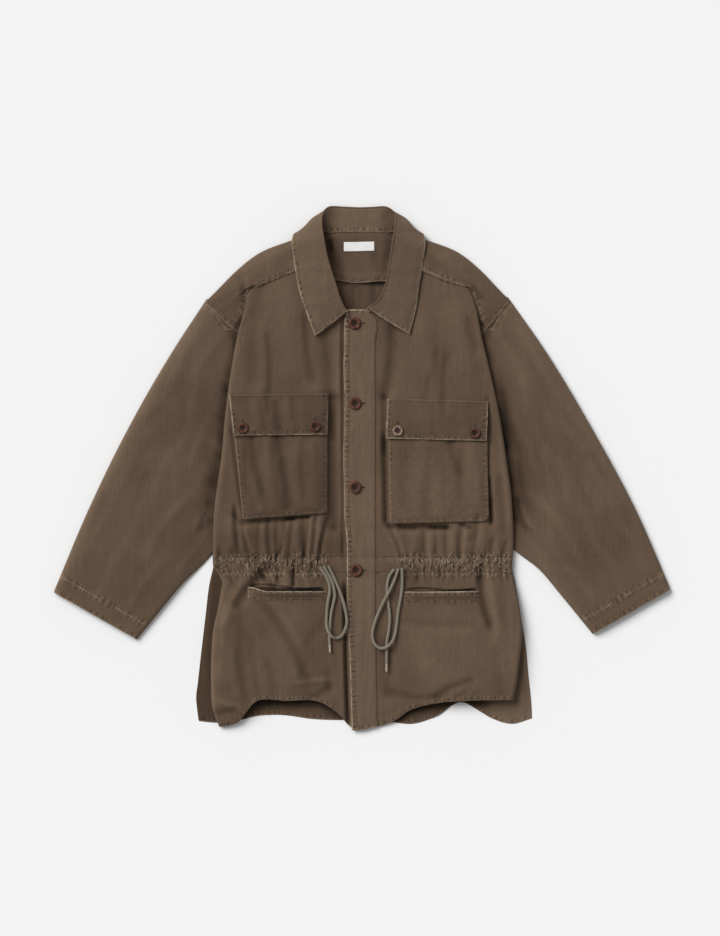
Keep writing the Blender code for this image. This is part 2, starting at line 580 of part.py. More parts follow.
def placket():
    grid = []
    for row in PLACKET:
        across = [row.left + (row.right - row.left) * share for share in PLACKET_SHARES]
        grid.append([panel_point(x, row.y, PLACKET_RISE) for x in across])
    return cloth_sheet("placket", grid, DOUBLED, flip=True)


# ------------------------------------------------------------------ pockets
# corners in order: top left, top right, bottom left, bottom right, as seen from the front
CHEST_POCKETS = {
    "chest_pocket_right": ((-207, 92), (-54.9, 94), (-190.4, -81.1), (-55.4, -71)),
    "chest_pocket_left": ((42, 90), (199, 88), (45, -88), (203, -84)),
}
CHEST_FLAPS = {
    "chest_flap_right": ((-212.3, 118.2), (-53.4, 120.2), (-205, 52.5), (-55.7, 54.5)),
    "chest_flap_left": ((41, 112.2), (201.8, 107.5), (38.1, 48.2), (198.9, 44.3)),
}
LOWER_BANDS = {
    "lower_pocket_band_right": ((-183, -189.5), (-57.6, -194.7), (-182, -211.0), (-57.6, -212.5)),
    "lower_pocket_band_left": ((66.4, -196.8), (187.2, -195.4), (67.5, -217.5), (186.6, -218.2)),
}
# heights above the front: where the patch is sewn down and where it stands off
POCKET_ACROSS = (0.0, 0.05, 0.28, 0.5, 0.72, 0.95, 1.0)
POCKET_DOWN = (0.0, 0.2, 0.42, 0.64, 0.84, 0.955, 1.0)
POCKET_RISE = (0.0, 0.5, 1.0, 1.0, 1.0, 0.5, 0.0)
POCKET_FULL = (0.2, 0.5, 0.8, 1.0, 1.0, 0.7, 0.0)
POCKET_EDGE = 2.2
POCKET_BULGE = 3.2
FLAP_ACROSS = (0.0, 0.12, 0.3, 0.5, 0.7, 0.88, 1.0)
FLAP_DOWN = (0.0, 0.1, 0.35, 0.7, 1.0)
FLAP_RISE = (2.6, 3.6, 7.0, 7.4, 7.2)
BAND_ACROSS = (0.0, 0.06, 0.22, 0.4, 0.6, 0.78, 0.94, 1.0)
BAND_DOWN = (0.0, 0.35, 0.7, 1.0)
BAND_OPEN = (1.0, 0.95, 0.4, 0.0)
BAND_EDGE = 2.6
BAND_GAPE = 9.8        # how far the mouth stands open above the front
BAND_ENDS = 2.2        # how quickly the mouth opens from its two ends


def patch(corners, across, down):
    top_left, top_right, low_left, low_right = (np.array(point, float) for point in corners)
    for v in down:
        start = top_left + (low_left - top_left) * v
        end = top_right + (low_right - top_right) * v
        yield [start + (end - start) * u for u in across]


def chest_pocket(name, corners):
    grid = []
    for full, line in zip(POCKET_FULL, patch(corners, POCKET_ACROSS, POCKET_DOWN)):
        rises = [POCKET_EDGE + POCKET_BULGE * full * rise for rise in POCKET_RISE]
        grid.append([panel_point(p[0], p[1], rise) for rise, p in zip(rises, line)])
    return cloth_sheet(name, grid, CLOTH, flip=True)


def chest_flap(name, corners):
    grid = []
    for rise, line in zip(FLAP_RISE, patch(corners, FLAP_ACROSS, FLAP_DOWN)):
        grid.append([panel_point(p[0], p[1], rise) for p in line])
    return cloth_sheet(name, grid, DOUBLED, flip=True)


def lower_band(name, corners):
    grid = []
    for gape, line in zip(BAND_OPEN, patch(corners, BAND_ACROSS, BAND_DOWN)):
        points = []
        for share, p in zip(BAND_ACROSS, line):
            stand = min(1.0, math.sin(math.pi * share) * BAND_ENDS)
            points.append(panel_point(p[0], p[1], BAND_EDGE + BAND_GAPE * gape * stand))
        grid.append(points)
    return cloth_sheet(name, grid, DOUBLED, flip=True)


# ------------------------------------------------------------------ label
LABEL_LOW = (-29.0, 348.6, 3.9)
LABEL_HIGH = (19.6, 363.2, 4.7)


def neck_label():
    mesh = bpy.data.meshes.new("neck_label")
    shape = bmesh.new()
    bmesh.ops.create_cube(shape, size=1.0)
    size = [high - low for low, high in zip(LABEL_LOW, LABEL_HIGH)]
    middle = [(high + low) / 2 for low, high in zip(LABEL_LOW, LABEL_HIGH)]
    bmesh.ops.scale(shape, vec=[s * MM for s in size], verts=shape.verts)
    bmesh.ops.translate(shape, vec=[m * MM for m in middle], verts=shape.verts)
    shape.to_mesh(mesh)
    shape.free()
    return add_object("neck_label", mesh, "label")


# ------------------------------------------------------------------ buttons
# radius and height of the turned profile, as shares of the radius and of the thickness
BUTTON_PROFILE = ((0.0, 0.55), (0.56, 0.5), (0.74, 1.0), (0.9, 0.95), (1.0, 0.55), (0.8, 0.0), (0.0, 0.0))
BUTTONS = rows_of(
    "name x y diameter rise",
    ("front_button_1", -11.8, 232.5, BUTTON, 2.4),
    ("front_button_2", -10.9, 104.5, BUTTON, 2.4),
    ("front_button_3", -10.9, -29.9, BUTTON, 2.4),
    ("front_button_4", -9.4, -162.6, BUTTON, 2.4),
    ("flap_button_1", -189.8, 65.0, FLAP_BUTTON, 7.3),
    ("flap_button_2", -75.2, 67.4, FLAP_BUTTON, 7.3),
    ("flap_button_3", 57.0, 60.5, FLAP_BUTTON, 7.3),
    ("flap_button_4", 180.5, 57.0, FLAP_BUTTON, 7.3),
)
BUTTON_SIDES = 16
BUTTON_REACH = (-7, 0, 7)
BUTTON_GAP = 0.35


def button(row):
    radius = row.diameter / 2
    mesh = bpy.data.meshes.new(row.name)
    profile = [(r * radius * MM, 0.0, h * BUTTON_THICK * MM) for r, h in BUTTON_PROFILE]
    mesh.from_pydata(profile, [(k, k + 1) for k in range(len(profile) - 1)], [])
    piece = add_object(row.name, mesh, "button")
    turn = piece.modifiers.new("turn", "SCREW")
    turn.steps = BUTTON_SIDES
    turn.render_steps = BUTTON_SIDES
    turn.use_merge_vertices = True
    turn.merge_threshold = 0.00002
    turn.use_normal_calculate = True
    # the button rests on the highest cloth under it
    places = [(row.x + dx, row.y + dy) for dx in BUTTON_REACH for dy in BUTTON_REACH]
    level = max(panel_point(x, y, row.rise)[2] for x, y in places)
    piece.location = (row.x * MM, row.y * MM, (level + BUTTON_GAP) * MM)
    return piece


# ------------------------------------------------------------------ drawcords
# routes along the middle of each cord: x, y and how far its middle is above the resting height
LOOP_RIGHT = (
    (-67.5, -157, 0), (-61.5, -166, 0), (-55.4, -176, 0), (-51.8, -186, 0), (-51.6, -197, 0),
    (-54.4, -213, 0), (-56.2, -231, 0), (-56.8, -247, 1.6), (-54.9, -257.5, 4.6), (-50.9, -264.8, 5.6),
    (-46.4, -269.4, 4.4), (-41.9, -271, 1.5), (-36.3, -269.9, 0), (-30.7, -264.8, 0), (-26.9, -257, 0),
    (-24, -245.8, 0), (-24.6, -236.8, 0), (-27.4, -222.2, 0), (-31.4, -207.7, 0), (-36.6, -193.1, 0),
    (-42.2, -179.7, 0), (-47.8, -167.5, 0), (-53.4, -156, 0),
)
END_RIGHT = (
    (-61.2, -156, 0), (-54.8, -167, 0), (-48.6, -178.6, 0), (-44.6, -193, 0), (-43.4, -203.8, 0),
    (-45.6, -215, 0), (-48.8, -229.4, 0), (-50.7, -245.4, 0), (-51.5, -261.4, 0), (-52, -274.2, 0),
    (-51.6, -281.0, 0),
)
LOOP_LEFT = (
    (64.0, -159, 0), (64.4, -175, 0), (64.2, -190, 0), (61.9, -207, 0), (57.9, -228.5, 0),
    (55.8, -247, 0), (53.3, -262.9, 0.6), (48.4, -276, 3.2), (40.4, -284.4, 5.6), (30.3, -287.2, 3.0),
    (20.4, -280.2, 0.6), (16.6, -266.9, 0), (19.4, -249.6, 0), (26.2, -231, 0.6), (35.0, -212.0, 3.6),
    (40.2, -202.5, 5.6), (46.2, -191.0, 3.4), (52.0, -178.4, 0.6), (58.2, -160, 0),
)
END_LEFT = (
    (51.8, -161, 0), (45.0, -170, 0), (41.3, -180.4, 0), (40.2, -192, 0), (40.6, -204.5, 0),
    (42.6, -217.8, 0), (44.6, -236.3, 0), (43.4, -256.3, 0), (40.4, -273.6, 0), (39.6, -284.2, 0),
    (39.5, -297, 0), (39.4, -312.0, 0),
)
CORD_SPACING = 2.4     # of its diameter, between the points of a cord
CORD_REST = 0.5        # gap between a cord and the cloth under it
TIP_WIDE = 0.47        # radii of the tip's two ends, as shares of the cord's diameter
TIP_NARROW = 0.36
TIP_SIDES = 10
TIP_GAP = 0.3
PLACKET_EDGE = rows_of("x rise", (-34, 0.0), (-27, 2.6), (25, 2.6), (32, 0.0))
GATHERED_FROM = 50.0   # distance from the centre where the gathers begin to lift a cord
GATHERED_LIFT = 1.5
BAND_LIFT = 2.8
BAND_BEFORE = 4.0      # how far past a pocket band a cord still rides on it
BAND_BEYOND = 6.0


def cord_bed(x, y):
    """Top of what a cord lies on: the front, the placket or a pocket band."""
    bed = float(front_height(x, y) + channel_height(y))
    bed += float(np.interp(x, [row.x for row in PLACKET_EDGE], [row.rise for row in PLACKET_EDGE]))
    gathered = min(1.0, max(0.0, (abs(x) - GATHERED_FROM) / 6))
    bed += GATHERED_LIFT * float(gather_strength(y)) * gathered
    for corners in LOWER_BANDS.values():
        low = corners[2][1] - BAND_BEFORE
        high = corners[0][1] + BAND_BEYOND
        off = max(corners[0][0] - x, x - corners[1][0], 0)
        if low < y < high:
            bed += BAND_LIFT * max(0.0, 1 - off / 5)
    return bed


def cord(name, route, diameter):
    levels = [(x, y, cord_bed(x, y) + CORD_REST + diameter / 2 + lift) for x, y, lift in route]
    fine = smooth_curve(levels, even(400))
    run = np.concatenate([[0.0], np.cumsum(np.linalg.norm(np.diff(fine, axis=0), axis=1))])
    count = max(4, int(round(run[-1] / (CORD_SPACING * diameter))) + 1)
    distances = np.linspace(0, run[-1], count)
    points = np.array([np.interp(distances, run, fine[:, axis]) for axis in range(3)]).T
    line = bpy.data.curves.new(name, "CURVE")
    line.dimensions = "3D"
    spline = line.splines.new("POLY")
    spline.points.add(count - 1)
    for point, place in zip(spline.points, points):
        point.co = (*(place * MM), 1.0)
    line.bevel_depth = diameter / 2 * MM
    line.bevel_resolution = 2
    line.use_fill_caps = True
    line.materials.append(finish("cord"))
    piece = bpy.data.objects.new(name, line)
    garment.objects.link(piece)
    return points, run[-1]


def cord_tip(name, points):
    """A moulded tip in line with the end of its cord."""
    end = points[-1]
    run = points[-1] - points[-2]
    run = run / np.linalg.norm(run)
    run[2] = 0.0
    mesh = bpy.data.meshes.new(name)
    shape = bmesh.new()
    wide = CORD * TIP_WIDE * MM
    narrow = CORD * TIP_NARROW * MM
    bmesh.ops.create_cone(
        shape, cap_ends=True, segments=TIP_SIDES, radius1=wide, radius2=narrow, depth=TIP_LENGTH * MM
    )
    shape.to_mesh(mesh)
    shape.free()
    piece = add_object(name, mesh, "tip")
    middle = end + run * (TIP_LENGTH / 2 + TIP_GAP)
    piece.location = tuple(middle * MM)
    piece.rotation_euler = (math.pi / 2, 0.0, math.atan2(run[1], run[0]) + math.pi / 2)
    return piece


# ------------------------------------------------------------------ the jacket
front_panel("front_right", FRONT_RIGHT, HEM_RIGHT, -1)
front_panel("front_left", FRONT_LEFT, HEM_LEFT, 1)
back_panel("back_right", BACK_RIGHT, BACK_HEM_RIGHT, -1)
back_panel("back_left", BACK_LEFT, BACK_HEM_LEFT, 1)
yoke()
for sleeve_name, sleeve_shape in SLEEVES.items():
    sleeve(sleeve_name, sleeve_shape)
collar()
placket()
for pocket_name, pocket_corners in CHEST_POCKETS.items():
    chest_pocket(pocket_name, pocket_corners)
for flap_name, flap_corners in CHEST_FLAPS.items():
    chest_flap(flap_name, flap_corners)
for band_name, band_corners in LOWER_BANDS.items():
    lower_band(band_name, band_corners)
neck_label()
for button_row in BUTTONS:
    button(button_row)
for where, loop_route, end_route in (("right", LOOP_RIGHT, END_RIGHT), ("left", LOOP_LEFT, END_LEFT)):
    loop_points, loop_length = cord("drawcord_loop_" + where, loop_route, CORD)
    end_points, end_length = cord("drawcord_end_" + where, end_route, CORD)
    cord_tip("cord_tip_" + where, end_points)
    print(where, "loop", round(loop_length), "mm, free end", round(end_length), "mm")
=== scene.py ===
# Safari jacket lying on its back, seen from straight above. Tables are in millimetres:
# x to the wearer's left, y to the collar, z up. Meshes are written in metres.
import json
import math
from collections import namedtuple

import bpy
import numpy as np
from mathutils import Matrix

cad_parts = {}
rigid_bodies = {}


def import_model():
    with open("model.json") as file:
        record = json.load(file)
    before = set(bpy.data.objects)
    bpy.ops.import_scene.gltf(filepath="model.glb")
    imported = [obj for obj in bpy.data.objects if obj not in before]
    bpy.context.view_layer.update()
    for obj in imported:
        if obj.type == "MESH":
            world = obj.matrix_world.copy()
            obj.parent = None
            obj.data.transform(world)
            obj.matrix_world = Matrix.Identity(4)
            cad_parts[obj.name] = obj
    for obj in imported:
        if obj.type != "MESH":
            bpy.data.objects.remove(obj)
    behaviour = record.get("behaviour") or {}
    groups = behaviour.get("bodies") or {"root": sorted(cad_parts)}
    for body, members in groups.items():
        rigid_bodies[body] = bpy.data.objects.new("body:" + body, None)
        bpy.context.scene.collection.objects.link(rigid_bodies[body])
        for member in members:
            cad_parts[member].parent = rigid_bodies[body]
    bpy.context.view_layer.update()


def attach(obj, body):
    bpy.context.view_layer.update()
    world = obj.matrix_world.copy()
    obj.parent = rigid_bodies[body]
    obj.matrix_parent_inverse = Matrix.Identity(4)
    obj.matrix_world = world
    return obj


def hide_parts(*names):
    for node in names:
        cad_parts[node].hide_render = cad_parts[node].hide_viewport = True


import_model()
mm = 0.001
scene = bpy.context.scene

# camera straight above, soft light from the upper left, plain pale floor
cameraSet = {"height": 6.0, "frameHeight": 1.4976, "x": -0.0032, "y": 0.0010, "sensor": 36.0, "level": 0.012}
lightSet = {"sun": 3.3, "sunAngle": 38.0, "tilt": 48.0, "turn": 42.0, "fill": 0.41, "floor": (0.80, 0.80, 0.80)}

cameraData = bpy.data.cameras.new("camera")
camera = bpy.data.objects.new("camera", cameraData)
scene.collection.objects.link(camera)
camera.location = (cameraSet["x"], cameraSet["y"], cameraSet["height"])
cameraData.sensor_fit = "VERTICAL"
cameraData.sensor_height = cameraSet["sensor"]
cameraData.lens = cameraSet["sensor"] * (cameraSet["height"] - cameraSet["level"]) / cameraSet["frameHeight"]
cameraData.clip_end = 50
scene.camera = camera

sunData = bpy.data.lights.new("windowLight", "SUN")
sunData.energy = lightSet["sun"]
sunData.angle = math.radians(lightSet["sunAngle"])
sun = bpy.data.objects.new("windowLight", sunData)
sun.rotation_euler = (0.0, -math.radians(lightSet["tilt"]), -math.radians(lightSet["turn"]))
scene.collection.objects.link(sun)
world = bpy.data.worlds.new("studio")
world.use_nodes = True
world.node_tree.nodes["Background"].inputs["Color"].default_value = (1.0, 1.0, 1.0, 1.0)
world.node_tree.nodes["Background"].inputs["Strength"].default_value = lightSet["fill"]
scene.world = world
scene.view_settings.view_transform = "Standard"
scene.view_settings.look = "None"
print("camera and lights")


def rowsOf(names, *rows):
    row = namedtuple("row", names)
    return [row(*values) for values in rows]


def addUp(steps):
    # running total that starts at 0
    return np.concatenate([[0.0], np.cumsum(steps)])


def stepsOf(points):
    return np.linalg.norm(np.diff(points, axis=0), axis=1)


def runOf(points):
    # mm along a line at each of its points
    return addUp(stepsOf(points))


def lineAt(points, run, at):
    # points of a line at distances along it
    return np.stack([np.interp(at, run, points[:, k]) for k in range(3)], axis=-1)


def gridOf(x, y, z):
    return np.stack([x, y, z], axis=-1)


def bell(value, width):
    return np.exp(-((value / width) ** 2))


def smoothCurve(points, at, knots=None):
    # smooth line through points; at is in the knots' units, or in shares of the length
    points = np.array(points, float)
    if knots is None:
        knots = runOf(points)
        at = np.clip(np.asarray(at, float), 0, 1) * knots[-1]
    knots = np.asarray(knots, float)
    at = np.clip(np.asarray(at, float), knots[0], knots[-1])
    step = np.diff(knots)
    slope = np.diff(points, axis=0) / step[:, None]
    tangent = np.empty_like(points)
    tangent[0] = slope[0]
    tangent[-1] = slope[-1]
    share = (step[:-1] / (step[:-1] + step[1:]))[:, None]
    tangent[1:-1] = slope[:-1] * (1 - share) + slope[1:] * share
    k = np.clip(np.searchsorted(knots, at, side="right") - 1, 0, len(step) - 1)
    h = step[k][:, None]
    u = (at - knots[k])[:, None] / h
    start = points[k] * (2 * u**3 - 3 * u**2 + 1) + tangent[k] * h * (u**3 - 2 * u**2 + u)
    return start + points[k + 1] * (3 * u**2 - 2 * u**3) + tangent[k + 1] * h * (u**3 - u**2)


def curveThrough(values, at, knots):
    # smoothCurve for single numbers
    return smoothCurve(np.array(values)[:, None], at, knots)[:, 0]


def softStep(value, low, high):
    t = np.clip((np.asarray(value, float) - low) / (high - low), 0, 1)
    return t * t * (3 - 2 * t)


def ripple(x, y, seed, size, count=9):
    # smooth unevenness of laid cloth, about -1 to 1; size is the usual distance between rises
    dice = np.random.default_rng(seed)
    total = 0.0
    for k in range(count):
        angle = dice.uniform(0, math.pi)
        wave = size * dice.uniform(0.6, 1.7)
        phase = dice.uniform(0, 2 * math.pi)
        total = total + np.sin((x * math.cos(angle) + y * math.sin(angle)) * 2 * math.pi / wave + phase)
    return total / math.sqrt(count)


creaseNames = "x1 y1 x2 y2 bow width height soft"


def creaseHeight(x, y, creases):
    # soft ridges and troughs: ends, sideways bow of the middle, half width, height and length of the ends
    total = np.zeros(np.broadcast(x, y).shape)
    for c in creases:
        runX = c.x2 - c.x1
        runY = c.y2 - c.y1
        length = math.hypot(runX, runY)
        along = ((x - c.x1) * runX + (y - c.y1) * runY) / length
        share = np.clip(along / length, 0, 1)
        off = ((x - c.x1) * runY - (y - c.y1) * runX) / length - c.bow * 4 * share * (1 - share)
        past = np.maximum(0, np.maximum(-along, along - length))
        total = total + c.height * np.exp(-((off / c.width) ** 2) - (past / c.soft) ** 2)
    return total


def plug(tree, socket, value):
    # a number, a colour or another node's output into a socket
    if isinstance(value, bpy.types.NodeSocket):
        tree[1].new(value, socket)
    elif socket.type == "RGBA":
        socket.default_value = (*value, 1.0)
    else:
        socket.default_value = value


def setNode(tree, node, **settings):
    # settings that begin with in_ are the node's inputs
    for key, value in settings.items():
        if key.startswith("in_"):
            plug(tree, node.inputs[key[3:].replace("_", " ")], value)
        else:
            setattr(node, key, value)
    return node


def addNode(tree, kind, **settings):
    return setNode(tree, tree[0].new("ShaderNode" + kind), **settings)


def newMaterial(name):
    material = bpy.data.materials.new(name)
    material.use_nodes = True
    tree = (material.node_tree.nodes, material.node_tree.links)
    return material, tree, tree[0]["Principled BSDF"], addNode(tree, "TexCoord").outputs["Object"]


def attributeOf(tree, name, output="Fac"):
    return addNode(tree, "Attribute", attribute_name=name).outputs[output]


def mathNode(tree, operation, value, *others, clamp=False):
    # the first value with each of the others in turn
    for other in others:
        node = addNode(tree, "Math", operation=operation, use_clamp=clamp)
        plug(tree, node.inputs[0], value)
        plug(tree, node.inputs[1], other)
        value = node.outputs[0]
    return value


def mapRange(tree, value, low, high, toLow=0.0, toHigh=1.0):
    node = addNode(tree, "MapRange", interpolation_type="SMOOTHSTEP", in_Value=value, in_From_Min=low, in_From_Max=high)
    return setNode(tree, node, in_To_Min=toLow, in_To_Max=toHigh).outputs["Result"]


def noiseAt(tree, vector, scale, detail=3.0, roughness=0.55, dimensions="3D", distortion=0.0):
    node = addNode(tree, "TexNoise", noise_dimensions=dimensions, in_Scale=scale, in_Detail=detail)
    setNode(tree, node, in_Roughness=roughness, in_Distortion=distortion)
    plug(tree, node.inputs["W" if dimensions == "1D" else "Vector"], vector)
    return node.outputs["Fac"]


def mixColour(tree, factor, first, second, blend="MIX"):
    node = addNode(tree, "Mix", data_type="RGBA", blend_type=blend, clamp_factor=True)
    for k, value in ((0, factor), (6, first), (7, second)):
        plug(tree, node.inputs[k], value)
    return node.outputs[2]


def addBump(tree, shader, height, strength, distance):
    bump = addNode(tree, "Bump", in_Strength=strength, in_Distance=distance, in_Height=height)
    setNode(tree, shader, in_Normal=bump.outputs[0])


twillSet = {
    "cloth": (0.0840, 0.0520, 0.0315),
    # faded: the paler dye, also used as painted light on ridges and lit places
    "faded": (0.150, 0.102, 0.066),
    # the next two colours are painted shade: in troughs and shadows, and near black in the deepest hollows and slots
    "deep": (0.041, 0.0228, 0.0112),
    "hollowShade": (0.006, 0.0036, 0.0022),
    "worn": (0.33, 0.262, 0.182),
    "roughness": 0.86,
    "specular": 0.22,
    "sheen": 0.10,
    "sheenRoughness": 0.6,
    "sheenTint": (0.62, 0.54, 0.45),
    # scale, detail and roughness of each noise
    "noise": {
        "broad": (9.0, 2.0, 0.5),
        "blotch": (46.0, 4.0, 0.62),
        "grain": (620.0, 2.0, 0.6),
        "fleck": (190.0, 3.0, 0.7),
        "dashes": (85.0, 3.0, 0.6),
        "crinkle": (130.0, 4.0, 0.6),
    },
    "slubs": (330.0, 3.0, 0.65),
    "slubStretch": (1.0, 0.045, 1.0),
    "ticks": (0.19, 1.0, 0.5, "1D"),
    "tickShade": 0.64,
    "ribMm": 0.62,
    "ribTurn": 63,
    "ribWaver": 0.6,
    "ribHeight": 0.10,
    "grainHeight": 0.10,
    "crinkleHeight": 0.55,
    "tickHeight": 1.1,
    "bump": (0.55, 0.001),
}


def twillMaterial():
    # seam: x is mm from the nearest sewn edge, y is mm along it, z is how worn it is; the second attribute is above 0
    # on ridges, rubbed pale and painted lighter, and below 0 where shade is painted in
    s = twillSet
    material, tree, shader, place = newMaterial("washedTwill")
    wearAndPaintedShade = attributeOf(tree, "wearAndPaintedShade")
    edge, run, worn = addNode(tree, "SeparateXYZ", in_Vector=attributeOf(tree, "seam", "Vector")).outputs
    noise = {name: noiseAt(tree, place, *how) for name, how in s["noise"].items()}
    # overdyed cloth: broad and fine changes of depth; paler on ridges, rubbed and painted lighter; painted shade in
    # troughs, hollows and shadows
    broad = mapRange(tree, noise["broad"], 0.32, 0.68, 0.0, 0.26)
    fade = mathNode(tree, "ADD", broad, mapRange(tree, noise["blotch"], 0.35, 0.7, 0.0, 0.12))
    colour = mixColour(tree, fade, s["cloth"], s["faded"])
    colour = mixColour(tree, mathNode(tree, "MULTIPLY", wearAndPaintedShade, 0.8, clamp=True), colour, s["faded"])
    colour = mixColour(tree, mathNode(tree, "MULTIPLY", wearAndPaintedShade, -0.9, clamp=True), colour, s["deep"])
    colour = mixColour(tree, mapRange(tree, wearAndPaintedShade, -0.9, -2.0), colour, s["hollowShade"])
    drawnOut = addNode(tree, "Mapping", in_Scale=s["slubStretch"], in_Vector=place).outputs[0]
    grain = mapRange(tree, noise["grain"], 0.25, 0.75, 0.90, 1.09)
    fleck = mapRange(tree, noise["fleck"], 0.3, 0.75, 0.955, 1.06)
    slubs = mapRange(tree, noiseAt(tree, drawnOut, *s["slubs"]), 0.3, 0.7, 0.94, 1.065)
    grain = mathNode(tree, "MULTIPLY", grain, fleck, slubs)
    # ticks where the stitching draws the edge in: bumps, and painted light and shade across them
    ticks = mathNode(tree, "SUBTRACT", mapRange(tree, noiseAt(tree, run, *s["ticks"]), 0.36, 0.62), 0.5)
    fromEdge = mapRange(tree, edge, 0.8, 2.4)
    toCloth = mapRange(tree, edge, 5.2, 8.0, 1.0, 0.0)
    nearStitch = mathNode(tree, "MULTIPLY", fromEdge, toCloth, mapRange(tree, worn, 0.0, 0.5))
    ticks = mathNode(tree, "MULTIPLY", ticks, nearStitch)
    grain = mathNode(tree, "ADD", grain, mathNode(tree, "MULTIPLY", ticks, s["tickShade"]))
    colour = mixColour(tree, 1.0, colour, grain, "MULTIPLY")
    # the edge itself is rubbed pale, in uneven dashes
    dashes = mapRange(tree, noise["dashes"], 0.36, 0.62, 0.25, 1.0)
    rub = mathNode(tree, "MULTIPLY", mapRange(tree, edge, 0.5, 2.5, 0.95, 0.0), worn, dashes, clamp=True)
    colour = mixColour(tree, rub, colour, s["worn"])
    rough = mapRange(tree, noise["blotch"], 0.3, 0.7, s["roughness"] - 0.05, s["roughness"] + 0.06)
    setNode(tree, shader, in_Base_Color=colour, in_Roughness=rough, in_Specular_IOR_Level=s["specular"])
    setNode(
        tree, shader, in_Sheen_Weight=s["sheen"], in_Sheen_Roughness=s["sheenRoughness"], in_Sheen_Tint=s["sheenTint"],
    )
    # diagonal ribs of the twill, fine fuzz and small crinkles
    uv = addNode(tree, "UVMap", uv_map="clothMm").outputs["UV"]
    turned = addNode(tree, "Mapping", in_Rotation=(0.0, 0.0, math.radians(s["ribTurn"])), in_Vector=uv).outputs[0]
    ribs = addNode(tree, "TexWave", wave_type="BANDS", bands_direction="X", in_Vector=turned)
    setNode(tree, ribs, in_Scale=2 * math.pi / (20 * s["ribMm"]), in_Distortion=s["ribWaver"], in_Detail=1.0)
    heights = (
        (ribs.outputs["Fac"], s["ribHeight"]), (noise["grain"], s["grainHeight"]),
        (noise["crinkle"], s["crinkleHeight"]), (ticks, s["tickHeight"]),
    )
    height = mathNode(tree, "ADD", *(mathNode(tree, "MULTIPLY", value, share) for value, share in heights))
    addBump(tree, shader, height, *s["bump"])
    return material


threadSet = {"low": (0.092, 0.062, 0.040), "high": (0.168, 0.124, 0.086), "roughness": 0.7, "bump": (0.4, 0.0004)}


def threadMaterial():
    s = threadSet
    material, tree, shader, place = newMaterial("sewingThread")
    fade = mapRange(tree, noiseAt(tree, place, 70.0), 0.3, 0.7)
    setNode(tree, shader, in_Base_Color=mixColour(tree, fade, s["low"], s["high"]), in_Roughness=s["roughness"])
    addBump(tree, shader, noiseAt(tree, place, 1600.0, 1.0), *s["bump"])
    return material


cordSet = {
    "diameter": 5.0,
    "rest": 0.5,
    "sides": 20,
    "stepMm": 1.1,
    "strands": 8,
    "lay": 7.5,
    "relief": 0.34,
    "sunk": 0.12,
    "pale": (0.212, 0.182, 0.130),
    "dark": (0.085, 0.074, 0.052),
    "roughness": 0.78,
    "sheen": 0.15,
    "bump": (0.5, 0.0005),
}


def cordMaterial():
    s = cordSet
    material, tree, shader, place = newMaterial("braidedCord")
    # painted shade in the grooves between strands, paler colour on the strands
    colour = mixColour(tree, mapRange(tree, attributeOf(tree, "wearAndPaintedShade"), -0.9, 0.5), s["dark"], s["pale"])
    grain = mapRange(tree, noiseAt(tree, place, 900.0, 2.0), 0.3, 0.7, 0.84, 1.12)
    colour = mixColour(tree, 1.0, colour, grain, "MULTIPLY")
    setNode(tree, shader, in_Base_Color=colour, in_Roughness=s["roughness"], in_Sheen_Weight=s["sheen"])
    addBump(tree, shader, noiseAt(tree, place, 1200.0), *s["bump"])
    return material


def plainMaterial(name, low, high, roughness, scale, bumpMm=0.0, middle=None):
    # two tones mixed by noise, for the small hard pieces, the label and the floor
    material, tree, shader, place = newMaterial(name)
    noise = noiseAt(tree, place, scale, 4.0, 0.6, "3D", 1.2)
    colour = mixColour(tree, mapRange(tree, noise, 0.35, 0.65), low, high)
    # a third colour of painted shade where the per-point attribute is 1: a button's sunk middle and the edge of its rim
    if middle:
        colour = mixColour(tree, attributeOf(tree, "wearAndPaintedShade"), colour, middle)
        setNode(tree, shader, in_Specular_IOR_Level=0.22)
    rough = mapRange(tree, noise, 0.3, 0.7, roughness - 0.05, roughness + 0.06)
    setNode(tree, shader, in_Base_Color=colour, in_Roughness=rough)
    if bumpMm:
        addBump(tree, shader, noiseAt(tree, place, scale * 6, 2.0), 0.5, bumpMm * mm)
    return material


twill = twillMaterial()
thread = threadMaterial()
cordCloth = cordMaterial()
tipPlastic = plainMaterial("cordTip", (0.30, 0.25, 0.18), (0.40, 0.34, 0.25), 0.45, 240.0)
# each button's middle colour is painted shade for its sunk middle and rim
buttonPlastic = plainMaterial(
    "hornButton", (0.045, 0.0155, 0.0088), (0.125, 0.046, 0.0250), 0.56, 160.0, middle=(0.030, 0.0125, 0.0080),
)
paleButtonPlastic = plainMaterial(
    "rubbedButton", (0.10, 0.052, 0.034), (0.32, 0.235, 0.178), 0.52, 210.0, middle=(0.040, 0.024, 0.016),
)
labelTape = plainMaterial("labelTape", (0.66, 0.655, 0.64), (0.74, 0.735, 0.72), 0.66, 500.0, 0.10)
# a dark sheet of painted shade for the buttonhole slits
slitShadeSheet = plainMaterial("slotShade", (0.012, 0.008, 0.006), (0.020, 0.014, 0.010), 0.9, 300.0)
print("materials")


def linkPiece(name, mesh, material, slotName, *nodes):
    piece = bpy.data.objects.new(name, mesh)
    scene.collection.objects.link(piece)
    mesh.materials.append(material)
    mesh.shade_smooth()
    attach(piece, "root")
    if nodes:
        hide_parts(*nodes)
    return piece


